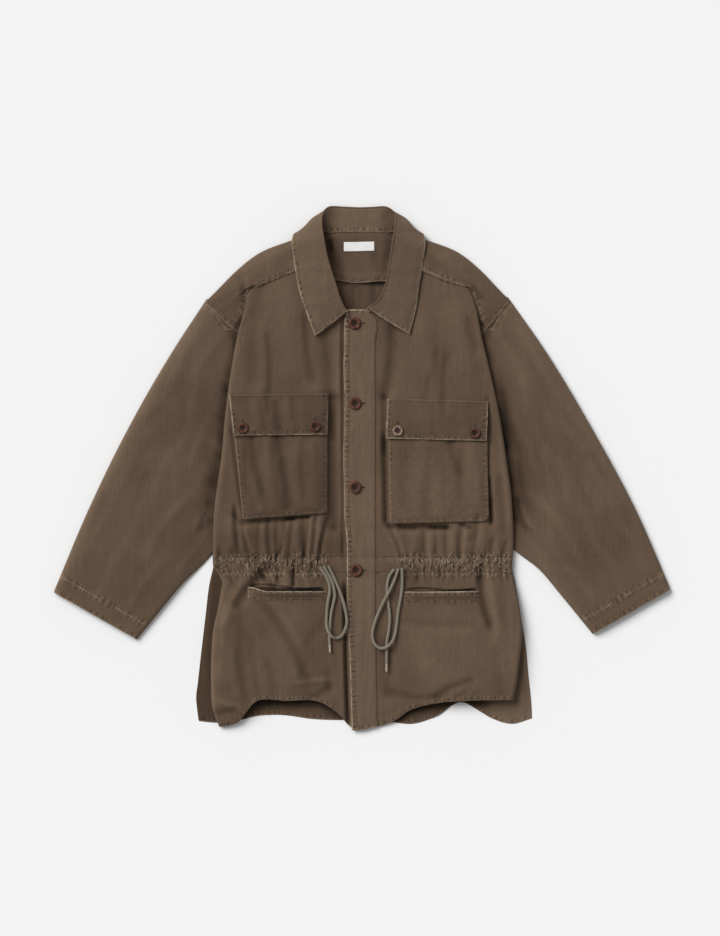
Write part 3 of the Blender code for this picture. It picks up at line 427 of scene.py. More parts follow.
def meshFrom(name, points, faces):
    # points in mm
    mesh = bpy.data.meshes.new(name)
    points = np.asarray(points, float) * mm
    faces = [np.asarray(part, np.int64) for part in faces if len(part)]
    sizes = np.concatenate([np.full(len(part), part.shape[1]) for part in faces])
    corners = np.concatenate([part.ravel() for part in faces])
    mesh.vertices.add(len(points))
    mesh.vertices.foreach_set("co", points.ravel())
    mesh.loops.add(len(corners))
    mesh.loops.foreach_set("vertex_index", corners.astype(np.int32))
    mesh.polygons.add(len(sizes))
    starts = np.concatenate([[0], np.cumsum(sizes)[:-1]])
    mesh.polygons.foreach_set("loop_start", starts.astype(np.int32))
    mesh.update(calc_edges=True)
    mesh.validate()
    return mesh


def lengthsOf(grid):
    across = np.linalg.norm(np.diff(grid, axis=1), axis=2)
    down = np.linalg.norm(np.diff(grid, axis=0), axis=2)
    u = np.concatenate([np.zeros((grid.shape[0], 1)), np.cumsum(across, axis=1)], axis=1)
    v = np.concatenate([np.zeros((1, grid.shape[1])), np.cumsum(down, axis=0)], axis=0)
    return u, v


def normalsOf(grid, tube=False, flip=False):
    if tube:
        du = np.roll(grid, -1, axis=1) - np.roll(grid, 1, axis=1)
    else:
        du = np.gradient(grid, axis=1)
    dv = np.gradient(grid, axis=0)
    normal = np.cross(du, dv)
    if flip:
        normal = -normal
    size = np.linalg.norm(normal, axis=2, keepdims=True)
    return normal / np.maximum(size, 1e-9)


def blurGrid(grid, times, tube=False):
    soft = grid.copy()
    for k in range(times):
        padded = np.concatenate([soft[:1], soft, soft[-1:]], axis=0)
        soft = (padded[:-2] + padded[2:] + 2 * soft) / 4
        if tube:
            soft = (np.roll(soft, 1, axis=1) + np.roll(soft, -1, axis=1) + 2 * soft) / 4
        else:
            padded = np.concatenate([soft[:, :1], soft, soft[:, -1:]], axis=1)
            soft = (padded[:, :-2] + padded[:, 2:] + 2 * soft) / 4
    return soft


farMm = 60.0  # stands for far from any sewn edge


def seamField(grid, sides):
    # distance to the nearest of the named edges and the way along it, in mm
    u, v = lengthsOf(grid)
    fields = {"left": (u, v), "right": (u[:, -1:] - u, v), "top": (v, u), "low": (v[-1:] - v, u)}
    near = np.full(u.shape, farMm)
    run = np.zeros(u.shape)
    for side in sides.split():
        away, along = fields[side]
        run = np.where(away < near, along, run)
        near = np.minimum(near, away)
    return near, run


def ringQuads(index):
    # faces between closed rings of point numbers
    a, b = index[:-1], index[1:]
    return np.stack([a, np.roll(a, -1, axis=1), np.roll(b, -1, axis=1), b], axis=-1).reshape(-1, 4)


def cappedTube(name, grid, ends, flip=False):
    # closed body: rings of points, and one point in the middle of each end
    rows, around = grid.shape[:2]
    index = np.arange(rows * around).reshape(rows, around)
    middle = np.full(around, rows * around)
    quads = ringQuads(index)
    first = np.stack([index[0], middle, np.roll(index[0], -1)], axis=-1)
    last = np.stack([index[-1], np.roll(index[-1], -1), middle + 1], axis=-1)
    if flip:
        quads, first, last = quads[:, [0, 3, 2, 1]], first[:, ::-1], last[:, ::-1]
    points = np.concatenate([grid.reshape(-1, 3), ends])
    return meshFrom(name, points, [quads, first, last]), points


def clothPiece(
    name, grid, thick, nodes, sides="", worn=0.0, tube=False, flip=False, seam=None, shade=None, crestMm=3.4,
    material=None, slotName="twill",
):
    # a closed wall under the outer face given by the grid, with rounded edges
    grid = np.asarray(grid, float)
    rows, columns = grid.shape[:2]
    normal = normalsOf(grid, tube, flip)
    inner = grid - normal * thick
    inner[..., 2] = np.maximum(inner[..., 2], 0.0)
    index = np.arange(rows * columns).reshape(rows, columns)
    count = rows * columns
    if tube:
        outerFaces = ringQuads(index)
        loops = [index[0], index[-1][::-1]]
        inward = [index[1], index[-2][::-1]]
    else:
        corners = (index[:-1, :-1], index[:-1, 1:], index[1:, 1:], index[1:, :-1])
        outerFaces = np.stack(corners, axis=-1).reshape(-1, 4)
        loops = [np.concatenate([index[0, :-1], index[:-1, -1], index[-1, :0:-1], index[:0:-1, 0]])]
        inward = [np.concatenate([index[1, :-1], index[:-1, -2], index[-2, :0:-1], index[:0:-1, 1]])]
    flat = grid.reshape(-1, 3)
    flatInner = inner.reshape(-1, 3)
    points = [flat, flatInner]
    if flip:
        outerFaces = outerFaces[:, ::-1]
    faces = [outerFaces, outerFaces[:, ::-1] + count]
    base = 2 * count
    rimSource = []
    for loop, inside in zip(loops, inward):
        away = flat[loop] - flat[inside]
        away /= np.maximum(np.linalg.norm(away, axis=1, keepdims=True), 1e-9)
        points.append((flat[loop] + flatInner[loop]) / 2 + away * thick * 0.36)
        rim = base + np.arange(len(loop))
        after = np.roll(np.arange(len(loop)), -1)
        upper = np.stack([loop, loop[after], rim[after], rim], axis=-1)
        lower = np.stack([rim, rim[after], loop[after] + count, loop + count], axis=-1)
        if not flip:
            upper, lower = upper[:, ::-1], lower[:, ::-1]
        faces += [upper, lower]
        rimSource.append(loop)
        base += len(loop)
    mesh = meshFrom(name, np.concatenate(points), faces)
    piece = linkPiece(name, mesh, material or twill, slotName, *nodes)
    source = np.concatenate([np.arange(count), np.arange(count), *rimSource])
    if seam is None:
        near, run = seamField(grid, sides)
        seam = gridOf(near, run, np.full(near.shape, worn))
    # paler on ridges and painted shade in troughs, from the grid's own relief; the painted light and shade given as
    # shade is added to it
    wearAndPaintedShade = np.sum((grid - blurGrid(grid, 10, tube)) * normal, axis=2) / crestMm
    if not tube:
        wearAndPaintedShade[0] = wearAndPaintedShade[-1] = 0
        wearAndPaintedShade[:, 0] = wearAndPaintedShade[:, -1] = 0
    wearAndPaintedShade = np.clip(wearAndPaintedShade, -1, 1)
    if shade is not None:
        wearAndPaintedShade = np.clip(wearAndPaintedShade + shade, -2, 1)
    setAttributes(mesh, seam.reshape(-1, 3)[source], wearAndPaintedShade.reshape(-1)[source])
    u, v = lengthsOf(grid)
    uv = np.stack([u, v], axis=-1).reshape(-1, 2)[source]
    layer = mesh.uv_layers.new(name="clothMm")
    corner = np.empty(len(mesh.loops), np.int32)
    mesh.loops.foreach_get("vertex_index", corner)
    layer.data.foreach_set("uv", uv[corner].astype(np.float32).ravel())
    return piece, grid, normal


def setAttributes(mesh, seam, wearAndPaintedShade):
    attribute = mesh.attributes.new("seam", "FLOAT_VECTOR", "POINT")
    attribute.data.foreach_set("vector", np.ascontiguousarray(seam, np.float32).ravel())
    attribute = mesh.attributes.new("wearAndPaintedShade", "FLOAT", "POINT")
    attribute.data.foreach_set("value", np.ascontiguousarray(wearAndPaintedShade, np.float32))


# stitching: short threads laid along lines on the pieces
stitchSet = {"pitch": 3.3, "length": 2.5, "radius": 0.27, "raise": 0.06}
stitchRuns = {}


def pointAt(grid, row, column):
    row = np.clip(row, 0, grid.shape[0] - 1.001)
    column = np.clip(column, 0, grid.shape[1] - 1.001)
    r = row.astype(int)
    c = column.astype(int)
    fr = (row - r)[:, None]
    fc = (column - c)[:, None]
    upper = grid[r, c] * (1 - fc) + grid[r, c + 1] * fc
    lower = grid[r + 1, c] * (1 - fc) + grid[r + 1, c + 1] * fc
    return upper * (1 - fr) + lower * fr


def edgeLine(grid, side, inset):
    # rows and columns of a line parallel to an edge, inset mm from it
    u, v = lengthsOf(grid)
    upright = side in ("left", "right")
    reach = u if upright else v.T
    order = 1
    if side in ("right", "low"):
        reach = reach[:, -1:] - reach
        order = -1
    count = np.arange(reach.shape[1])[::order]
    inward = np.array([np.interp(inset, line[::order], count) for line in reach])
    along = np.arange(len(reach), dtype=float)
    return (along, inward) if upright else (inward, along)


def sew(surface, line):
    piece, grid, normal = surface
    sewPoints(piece.name, pointAt(grid, *line), pointAt(normal, *line))


def sewDown(surface, columns, away):
    # stitches at given ways down the columns of a piece
    v = lengthsOf(surface[1])[1]
    rows = [np.interp(way, v[:, int(c)], np.arange(len(v))) for way, c in zip(away, columns)]
    sew(surface, (np.array(rows), columns))


def sewPoints(
    group, points, normals, pitch=stitchSet["pitch"], length=stitchSet["length"], radius=stitchSet["radius"],
):
    run = runOf(points)
    starts = np.arange(pitch * 0.4, run[-1] - length, pitch)
    if not len(starts):
        return
    up = lineAt(normals, run, starts + length / 2)
    up /= np.linalg.norm(up, axis=1, keepdims=True)
    ends = (lineAt(points, run, starts), lineAt(points, run, starts + length))
    stitchRuns.setdefault(group, []).append((*ends, up, np.full(len(starts), radius)))


def levelOn(flat, x, y, weights):
    # height of a surface at its points nearest to x, y, evened out along them
    near = [np.argmin((flat[:, 0] - px) ** 2 + (flat[:, 1] - py) ** 2) for px, py in zip(x, y)]
    return np.convolve(np.pad(flat[near, 2], len(weights) // 2, mode="edge"), weights, mode="valid")


def makeStitches():
    for group, runs in stitchRuns.items():
        first, last, up, radius = (np.concatenate([run[k] for run in runs]) for k in range(4))
        axis = last - first
        axis /= np.maximum(np.linalg.norm(axis, axis=1, keepdims=True), 1e-9)
        side = np.cross(axis, up)
        side /= np.maximum(np.linalg.norm(side, axis=1, keepdims=True), 1e-9)
        rings = []
        for share, size, level in ((0.0, 0.5, -0.16), (0.5, 1.0, 0.12), (1.0, 0.5, -0.16)):
            middle = first + (last - first) * share + up * (level + stitchSet["raise"])
            for k in range(4):
                turn = math.pi / 2 * k + math.pi / 4
                rings.append(middle + (up * math.cos(turn) + side * math.sin(turn)) * (radius * size)[:, None])
        points = np.stack(rings, axis=1).reshape(-1, 3)
        points[:, 2] = np.maximum(points[:, 2], 0.02)
        template = []
        for k in range(8):
            b = k + 1 if k % 4 < 3 else k - 3
            template.append((k, b, b + 4, k + 4))
        template += [(3, 2, 1, 0), (8, 9, 10, 11)]
        faces = (np.arange(len(first))[:, None, None] * 12 + np.array(template)[None]).reshape(-1, 4)
        name = "stitches_" + group
        linkPiece(name, meshFrom(name, points, [faces]), thread, "twill")
    print("stitches:", sum(len(run[0]) for runs in stitchRuns.values() for run in runs))


# drawcords: route of the middle of each cord, the third number is its lift above the resting height
loopRight = (
    (-67.5, -157, 0), (-61.5, -166, 0), (-55.4, -176, 0), (-51.8, -186, 0), (-51.6, -197, 0),
    (-54.4, -213, 0), (-56.2, -231, 0), (-56.8, -247, 1.6), (-54.9, -257.5, 4.6), (-50.9, -264.8, 5.6),
    (-46.4, -269.4, 4.4), (-41.9, -271, 1.5), (-36.3, -269.9, 0), (-30.7, -264.8, 0), (-26.9, -257, 0),
    (-24, -245.8, 0), (-24.6, -236.8, 0), (-27.4, -222.2, 0), (-31.4, -207.7, 0), (-36.6, -193.1, 0),
    (-42.2, -179.7, 0), (-47.8, -167.5, 0), (-53.4, -156, 0),
)
endRight = (
    (-61.2, -156, 0), (-54.8, -167, 0), (-48.6, -178.6, 0), (-44.6, -193, 0), (-43.4, -203.8, 0),
    (-45.6, -215, 0), (-48.8, -229.4, 0), (-50.7, -245.4, 0), (-51.5, -261.4, 0), (-52, -274.2, 0),
    (-51.6, -281.0, 0),
)
loopLeft = (
    (64.0, -159, 0), (64.4, -175, 0), (64.2, -190, 0), (61.9, -207, 0), (57.9, -228.5, 0),
    (55.8, -247, 0), (53.3, -262.9, 0.6), (48.4, -276, 3.2), (40.4, -284.4, 5.6), (30.3, -287.2, 3.0),
    (20.4, -280.2, 0.6), (16.6, -266.9, 0), (19.4, -249.6, 0), (26.2, -231, 0.6), (35.0, -212.0, 3.6),
    (40.2, -202.5, 5.6), (46.2, -191.0, 3.4), (52.0, -178.4, 0.6), (58.2, -160, 0),
)
endLeft = (
    (51.8, -161, 0), (45.0, -170, 0), (41.3, -180.4, 0), (40.2, -192, 0), (40.6, -204.5, 0),
    (42.6, -217.8, 0), (44.6, -236.3, 0), (43.4, -256.3, 0), (40.4, -273.6, 0), (39.6, -284.2, 0),
    (39.5, -297, 0), (39.4, -312.0, 0),
)
cordBedSet = {
    "placketX": (-34, -27, 25, 32),
    "placketRise": (0.0, 2.6, 2.6, 0.0),
    "gatheredFrom": 50.0,
    "gatheredLift": 1.5,
    "bandLift": 2.8,
    "bandBefore": 4.0,
    "bandBeyond": 6.0,
}

# outer face of the fronts above the floor, along the opening and near the side folds
heights = rowsOf(
    "y middle side",
    (-420, 4.8, 6.6), (-376, 9.6, 19), (-340, 12.6, 21.5), (-280, 14.4, 20.5), (-200, 11.6, 15), (-157, 9.8, 11.6),
    (-100, 9.8, 14), (0, 9.8, 16.2), (150, 9.8, 16.4), (250, 10.6, 15.6), (330, 11.6, 13.6), (430, 11, 12),
)
folds = rowsOf(
    creaseNames,
    (-163, 226, -160, 134, 0, 15, 2.2, 16), (-96, 214, -78, 134, 0, 14, 1.8, 16),
    (-74, -92, -80, -146, 0, 9, 2.6, 16), (-112, -96, -110, -146, 0, 9, 2, 16),
    (-188, -98, -194, -146, 0, 10, 2.2, 16), (-196, -222, -214, -330, 0, 16, 2.6, 16),
    (-92, -236, -112, -340, 0, 20, 2.4, 16), (104, 226, 118, 130, 0, 15, 2.2, 16),
    (164, 226, 176, 130, 0, 13, 2, 16), (58, -112, 70, -146, 0, 9, 2.4, 16), (116, -110, 112, -146, 0, 9, 2, 16),
    (186, -104, 182, -146, 0, 10, 2.4, 16), (208, -206, 226, -320, 0, 14, 2.6, 16),
    (112, -318, 168, -352, 0, 18, 3, 16),
)
# corners: top left, top right, bottom left, bottom right, as seen from the front
chestPockets = {
    "chest_pocket_right": ((-207, 92), (-54.9, 94), (-190.4, -81.1), (-55.4, -71)),
    "chest_pocket_left": ((42, 90), (199, 88), (45, -88), (203, -84)),
}
chestFlaps = {
    "chest_flap_right": ((-212.3, 118.2), (-53.4, 120.2), (-205, 52.5), (-55.7, 54.5)),
    "chest_flap_left": ((41, 112.2), (201.8, 107.5), (38.1, 48.2), (198.9, 44.3)),
}
lowerBands = {
    "lower_pocket_band_right": ((-183, -189.5), (-57.6, -194.7), (-182, -211.0), (-57.6, -212.5)),
    "lower_pocket_band_left": ((66.4, -196.8), (187.2, -195.4), (67.5, -217.5), (186.6, -218.2)),
}


def frontHeight(x, y):
    # outer face of the fronts over a place on the floor, without gathers
    x, y = np.broadcast_arrays(np.asarray(x, float), np.asarray(y, float))
    levels = [row.y for row in heights]
    middle = np.interp(y, levels, [row.middle for row in heights])
    side = np.interp(y, levels, [row.side for row in heights])
    height = middle + (side - middle) * softStep(np.abs(x), 26, 191)
    return height + creaseHeight(x, y, folds)


def gatherStrength(y):
    return np.interp(y, (-196, -180, -170, -142, -128, -112), (0, 0.5, 1, 1, 0.5, 0))


def channelHeight(y):
    # the casing behind the waist stands out between its two rows of stitching
    return np.interp(y, (-182, -170, -163, -156, -149, -142, -128), (0, -0.7, 0.5, 0.9, 0.5, -0.7, 0))


def cordBed(x, y):
    # top of what a cord lies on: the front, the placket or a pocket band
    bed = frontHeight(x, y) + channelHeight(y)
    bed = bed + np.interp(x, cordBedSet["placketX"], cordBedSet["placketRise"])
    gathered = np.clip((np.abs(x) - cordBedSet["gatheredFrom"]) / 6, 0, 1)
    bed = bed + cordBedSet["gatheredLift"] * gatherStrength(y) * gathered
    for corners in lowerBands.values():
        low = corners[2][1] - cordBedSet["bandBefore"]
        high = corners[0][1] + cordBedSet["bandBeyond"]
        off = np.maximum(np.maximum(corners[0][0] - x, x - corners[1][0]), 0)
        lift = cordBedSet["bandLift"] * np.maximum(0, 1 - off / 5)
        bed = bed + np.where((y > low) & (y < high), lift, 0)
    return bed


def cordPath(route):
    route = np.array(route, float)
    radius = cordSet["diameter"] / 2
    level = cordBed(route[:, 0], route[:, 1]) + cordSet["rest"] + radius + route[:, 2]
    points = np.column_stack([route[:, 0], route[:, 1], level])
    fine = smoothCurve(points, np.linspace(0, 1, 600))
    run = runOf(fine)
    return lineAt(fine, run, np.linspace(0, run[-1], int(run[-1] / cordSet["stepMm"]))), run[-1]


def tubeFrames(points):
    tangent = np.gradient(points, axis=0)
    tangent /= np.linalg.norm(tangent, axis=1, keepdims=True)
    side = np.cross(tangent, np.array([0.0, 0.0, 1.0]))
    side /= np.linalg.norm(side, axis=1, keepdims=True)
    return side, np.cross(side, tangent)


def braidTube(name, route, node):
    # round braid: strands cross each other both ways round the cord, its surface follows them
    s = cordSet
    points, length = cordPath(route)
    side, up = tubeFrames(points)
    turn = np.linspace(0, 2 * math.pi, s["sides"], endpoint=False)
    lay = np.linspace(0, length, len(points))[:, None] * 2 * math.pi / s["lay"]
    strands = s["strands"] / 2 * turn
    relief = np.maximum(np.sin(strands + lay), np.sin(strands - lay)) - 0.5
    radius = s["diameter"] / 2 - s["sunk"] + s["relief"] * relief * 0.7
    outward = side[:, None] * (np.cos(turn) * radius)[..., None]
    upward = up[:, None] * (np.sin(turn) * radius)[..., None]
    mesh, flat = cappedTube(name, points[:, None] + outward + upward, points[[0, -1]])
    piece = linkPiece(name, mesh, cordCloth, "cord", node)
    # the strands' relief, for the painted shade in the grooves
    setAttributes(mesh, np.zeros((len(flat), 3)), np.clip(np.append(relief * 1.2, [0, 0]), -1, 1))
    return length


tipSet = {
    "length": 13.0,
    "gap": 0.3,
    "sides": 24,
    "fit": 0.80,
    # mm along the tip and radius, in shares of the cord's fitted diameter
    "profile": (
        (0.0, 0.40), (0.0, 0.50), (0.8, 0.52), (1.6, 0.50), (2.2, 0.455), (9.5, 0.425), (11.6, 0.41), (12.6, 0.34),
        (13.0, 0.22),
    ),
}


def cordTip(name, route, node):
    # moulded tip: collar, smooth body and rounded end, in line with its cord
    s = tipSet
    points = cordPath(route)[0]
    end = points[-1]
    run = end - points[-9]
    run[2] = 0.0
    run /= np.linalg.norm(run)
    side = np.cross(run, [0.0, 0.0, 1.0])
    up = np.array([0, 0, 1.0])
    turns = np.linspace(0, 2 * math.pi, s["sides"], endpoint=False)
    rings = []
    for at, size in s["profile"]:
        radius = size * cordSet["diameter"] * s["fit"]
        middle = end + run * (s["gap"] + at)
        rings.append([middle + side * math.cos(t) * radius + up * math.sin(t) * radius for t in turns])
    ends = [end + run * s["gap"], end + run * (s["gap"] + s["length"])]
    return linkPiece(name, cappedTube(name, np.array(rings), ends)[0], tipPlastic, "tip", node)


tipRight = cordTip("tipRight", endRight, "cord_tip_right")
tipLeft = cordTip("tipLeft", endLeft, "cord_tip_left")
cordLengths = {}
for name, route, node, withPieces, farEnd in (
    ("cordLoopRight", loopRight, "drawcord_loop_right", (), "object"),
    ("cordEndRight", endRight, "drawcord_end_right", (tipRight,), "fitting"),
    ("cordLoopLeft", loopLeft, "drawcord_loop_left", (), "object"),
    ("cordEndLeft", endLeft, "drawcord_end_left", (tipLeft,), "fitting"),
):
    cordLengths[name] = round(braidTube(name, route, node))
print("cords:", cordLengths, "mm")


# soft unevenness that the fronts share with everything sewn on them
frontCreases = rowsOf(
    creaseNames,
    (-160, 292, -172, 150, 4, 13, -2.6, 22), (-174, 180, -180, 120, 0, 13, -1.2, 18),
    (-150, 210, -147, 120, -2, 7, -2.2, 12), (-90, 236, -80, 148, 2, 7, -2.8, 14),
    (-59, 210, -52, 122, -2, 9, -2.8, 14), (-118, 270, -112, 160, 3, 16, 2, 24),
    (-47, 112, -45, -92, 1, 12, -6.4, 10), (-38, 200, -37, 60, 0, 6, 1.6, 24), (-31, 226, -30.5, -130, 0, 3, -3, 12),
    (50, 222, 37, 118, -4, 10, -4.4, 12), (36, 112, 35.5, 28, 0, 5, -3, 8), (36.5, 40, 38.5, -74, 0, 5, -5.6, 14),
    (136, 176, 131, 112, 3, 7, -2.2, 12), (120, 182, 118, 130, 0, 6, -1.3, 12), (108, 146, 102, 112, 0, 6, -1.4, 10),
    (172, 232, 182, 196, 0, 8, -2, 10), (90, 250, 96, 170, 4, 16, 2, 24), (152, 250, 158, 170, 3, 16, 1.8, 20),
    (-203, -66, -197, -143, 1, 4.2, -3.6, 8), (-192, -92, -179, -146, 1, 4.2, -3.8, 7),
    (-165, -92, -168, -140, 0, 3.6, -1.8, 8), (-150, -84, -147, -143, 1, 4, -3.4, 8),
    (-137, -92, -136, -146, 0, 3.4, -3, 7), (-124, -84, -131, -136, -1, 4, -2.6, 8),
    (-112, -86, -117, -148, 1, 4, -3.6, 8), (-94, -84, -91, -142, 1, 3.4, -3.6, 8),
    (-87, -82, -94, -150, -1, 3.4, -3.2, 7), (-74, -80, -80, -164, 1, 3.6, -5, 7),
    (-56, -84, -69, -144, 2, 4, -4.6, 8), (-158, -96, -157, -140, 0, 6, 2.2, 10),
    (-126, -100, -126, -138, 0, 4.5, 2.4, 8), (-104, -96, -104, -140, 0, 4.5, 2.2, 8),
    (-66, -100, -75, -144, 1, 4, 2.6, 8), (-212, -88, -211, -140, 0, 6, 2, 8),
    (-185, -104, -174, -138, 0, 4, 1.8, 8), (-84, -90, -85, -140, 0, 3.6, 1.8, 8),
    (38, -84, 64, -148, -3, 3.4, -4, 7), (99, -104, 99, -143, 0, 4, -2.6, 8),
    (118, -100, 119, -145, 0, 3.6, -2.2, 8), (134, -98, 134, -144, 0, 4, -2.6, 8),
    (157, -104, 154, -147, 0, 4, -3.6, 8), (185, -78, 177, -112, -1, 6, -4.6, 6),
    (184, -104, 178, -147, 1, 4, -3.8, 8), (208, -118, 204, -146, 0, 3.6, -3, 7),
    (230, -122, 224, -156, 0, 3.6, -3.4, 7), (168, -96, 166, -140, 0, 5, 2.2, 8), (108, -108, 108, -142, 0, 5, 2, 8),
    (146, -104, 145, -142, 0, 5, 2, 8), (196, -110, 193, -142, 0, 5, 2, 8), (84, -110, 82, -140, 0, 7, 1.6, 8),
    (218, -110, 214, -142, 0, 5, 1.6, 8), (-147, -158, -200, -216, 3, 9, -5.6, 9),
    (-160, -166, -141, -190, 2, 4.4, -3.4, 6), (-109, -152, -110, -186, 0, 2.6, -6, 4),
    (-136, -162, -134, -182, 0, 3, -3.6, 4), (-232, -160, -226, -184, 0, 5.5, -5, 5),
    (-180, -172, -218, -240, 2, 11, 4.6, 16), (-92, -172, -86, -188, 0, 5, 2, 6),
    (-122, -168, -121, -186, 0, 5, 1.8, 6), (-166, -206, -90, -330, -7, 9, -3.6, 18),
    (-194, -232, -184, -366, 4, 12, -4.4, 18), (-178, -276, -166, -354, 1, 8, -2.8, 14),
    (-148, -316, -138, -356, 0, 8, -2, 12), (-56, -236, -82, -270, -3, 8, -1.6, 14),
    (-54, -330, -50, -356, 0, 6, -2.4, 8), (-52, -350, -84, -368, -2, 6, -3.2, 7),
    (-100, -343, -58, -338, -1, 5, 1.6, 8), (-226, -372, -196, -382, 1, 6, 2.6, 8),
    (-230, -392, -204, -386, 0, 5, -2.4, 8), (-222, -230, -228, -320, -2, 9, 2.8, 22),
    (-120, -250, -104, -330, -4, 16, 2.6, 22), (-206, -300, -198, -360, 0, 7, 1.8, 14),
    (-27.6, -196, -22.6, -398, 0.6, 3.4, -7.6, 12), (189, -158, 203, -246, 4, 6, -5.2, 14),
    (208, -180, 222, -260, 2, 10, 2.8, 16), (42, -282, 43, -356, 1, 10, -4.2, 12),
    (53, -358, 118, -366, 4, 6, -2.8, 8), (122, -364, 172, -340, -3, 7, -3, 8),
    (172, -352, 152, -366, 0, 5, -1.8, 6), (216, -300, 222, -358, 0, 9, -2.2, 12),
    (70, -256, 170, -262, 4, 8, 1.2, 12), (72, -244, 170, -248, 3, 6, -1.2, 12),
    (104, -290, 118, -340, 3, 18, 2.2, 20), (238, -230, 243, -330, 0, 9, 2.4, 22),
    (-224, 60, -229, -50, 0, 9, 2, 26), (226, 40, 234, -70, 0, 9, 2, 26), (222, -20, 228, -96, 0, 7, -2, 12),
    (-196, 240, -201, 196, 1, 3.2, -2.4, 8), (-205, 228, -209, 188, 0, 2.4, -2, 6),
    (-187, 234, -194, 206, 1, 3, -1.4, 6), (188, 240, 195, 198, -1, 3.2, -2.4, 8),
    (196, 226, 202, 186, 0, 2.4, -2, 6),
)
foldShade = {"depth": 13.0, "limit": (-0.75, 0.35)}
# the folds drawn up from the waist and those of the skirt lie softer than drawn above
softFolds = {"waist": (-125, -70, 0.62), "skirt": (-400, -225, 0.66)}
for low, high, share in softFolds.values():
    frontCreases = [
        row._replace(height=row.height * (share if low < row.y1 < high and row.y2 < row.y1 else 1))
        for row in frontCreases
    ]


def shadeOf(x, y, creases, depth=foldShade["depth"]):
    # painted shade in the trough of each fold and painted light on its ridge
    return np.clip(creaseHeight(x, y, creases) / depth, *foldShade["limit"])


rippleSet = {"broad": 0.45, "broadMm": 70.0, "fine": 0.10, "fineMm": 24.0}


def clothHeight(x, y):
    x, y = np.broadcast_arrays(np.asarray(x, float), np.asarray(y, float))
    height = frontHeight(x, y) + channelHeight(y) + creaseHeight(x, y, frontCreases)
    height = height + rippleSet["broad"] * ripple(x, y, 11, rippleSet["broadMm"])
    return height + rippleSet["fine"] * ripple(x, y, 12, rippleSet["fineMm"], 14)


def alongSteps(total, step, edge=(0.0, 0.7, 1.4, 2.2, 3.1, 4.1, 5.2, 6.4, 7.8), first=True, last=True):
    # positions along a length, closer together near its sewn ends
    edge = np.array(edge)
    low = edge if first else edge[:1]
    high = total - edge[::-1] if last else np.array([total])
    inner = np.linspace(low[-1], high[0], max(2, int(round((high[0] - low[-1]) / step)) + 1))[1:-1]
    return np.concatenate([low, inner, high]) / total


def edgeShape(away, roll=0.55, puff=0.28, pinch=0.34, line=5.0):
    # section of a turned and stitched edge: rounded down, full, and drawn in at the stitching
    away = np.asarray(away, float)
    down = roll * bell(away, 0.9)
    full = puff * bell(away - line * 0.48, line * 0.30)
    return full - down - pinch * bell(away - line, 0.85)


def puckers(run, away, seed, size=7.0, deep=0.32, line=5.0, reach=4.0):
    # short ripples across a row of stitching
    dice = np.random.default_rng(seed)
    phases = dice.uniform(0, 2 * math.pi, 3)
    turn = run * 2 * math.pi
    wave = np.sin(turn / size + phases[0]) + 0.7 * np.sin(turn / (size * 0.63) + phases[1])
    slow = 0.65 + 0.35 * np.sin(turn / (size * 6.3) + phases[2])
    return deep * 0.6 * wave * slow * bell(away - line, reach)


def shellArea(grid, tube=False):
    if tube:
        grid = np.concatenate([grid, grid[:, :1]], axis=1)
    a, b, c, d = grid[:-1, :-1], grid[:-1, 1:], grid[1:, 1:], grid[1:, :-1]
    area = np.linalg.norm(np.cross(b - a, c - a), axis=2) + np.linalg.norm(np.cross(c - a, d - a), axis=2)
    return float(area.sum()) / 2 * 1e-6


leastShare = 0.31  # of its width times its length, for a cut's area


def cutSheet(surface, tube=False, wider=1.0):
    # the cut follows from the piece itself: its greatest width and length, and its own area
    piece, grid = surface[:2]
    u, v = lengthsOf(np.concatenate([grid, grid[:, :1]], axis=1) if tube else grid)
    width = float(u[:, -1].max()) * mm * wider
    length = float(v[-1].max()) * mm
    area = min(shellArea(grid, tube) * wider, width * length)
    area = max(area, leastShare * width * length)
    print("cut", piece.name, round(width * 1000), "x", round(length * 1000), "mm,", round(area * 1e4), "cm2")


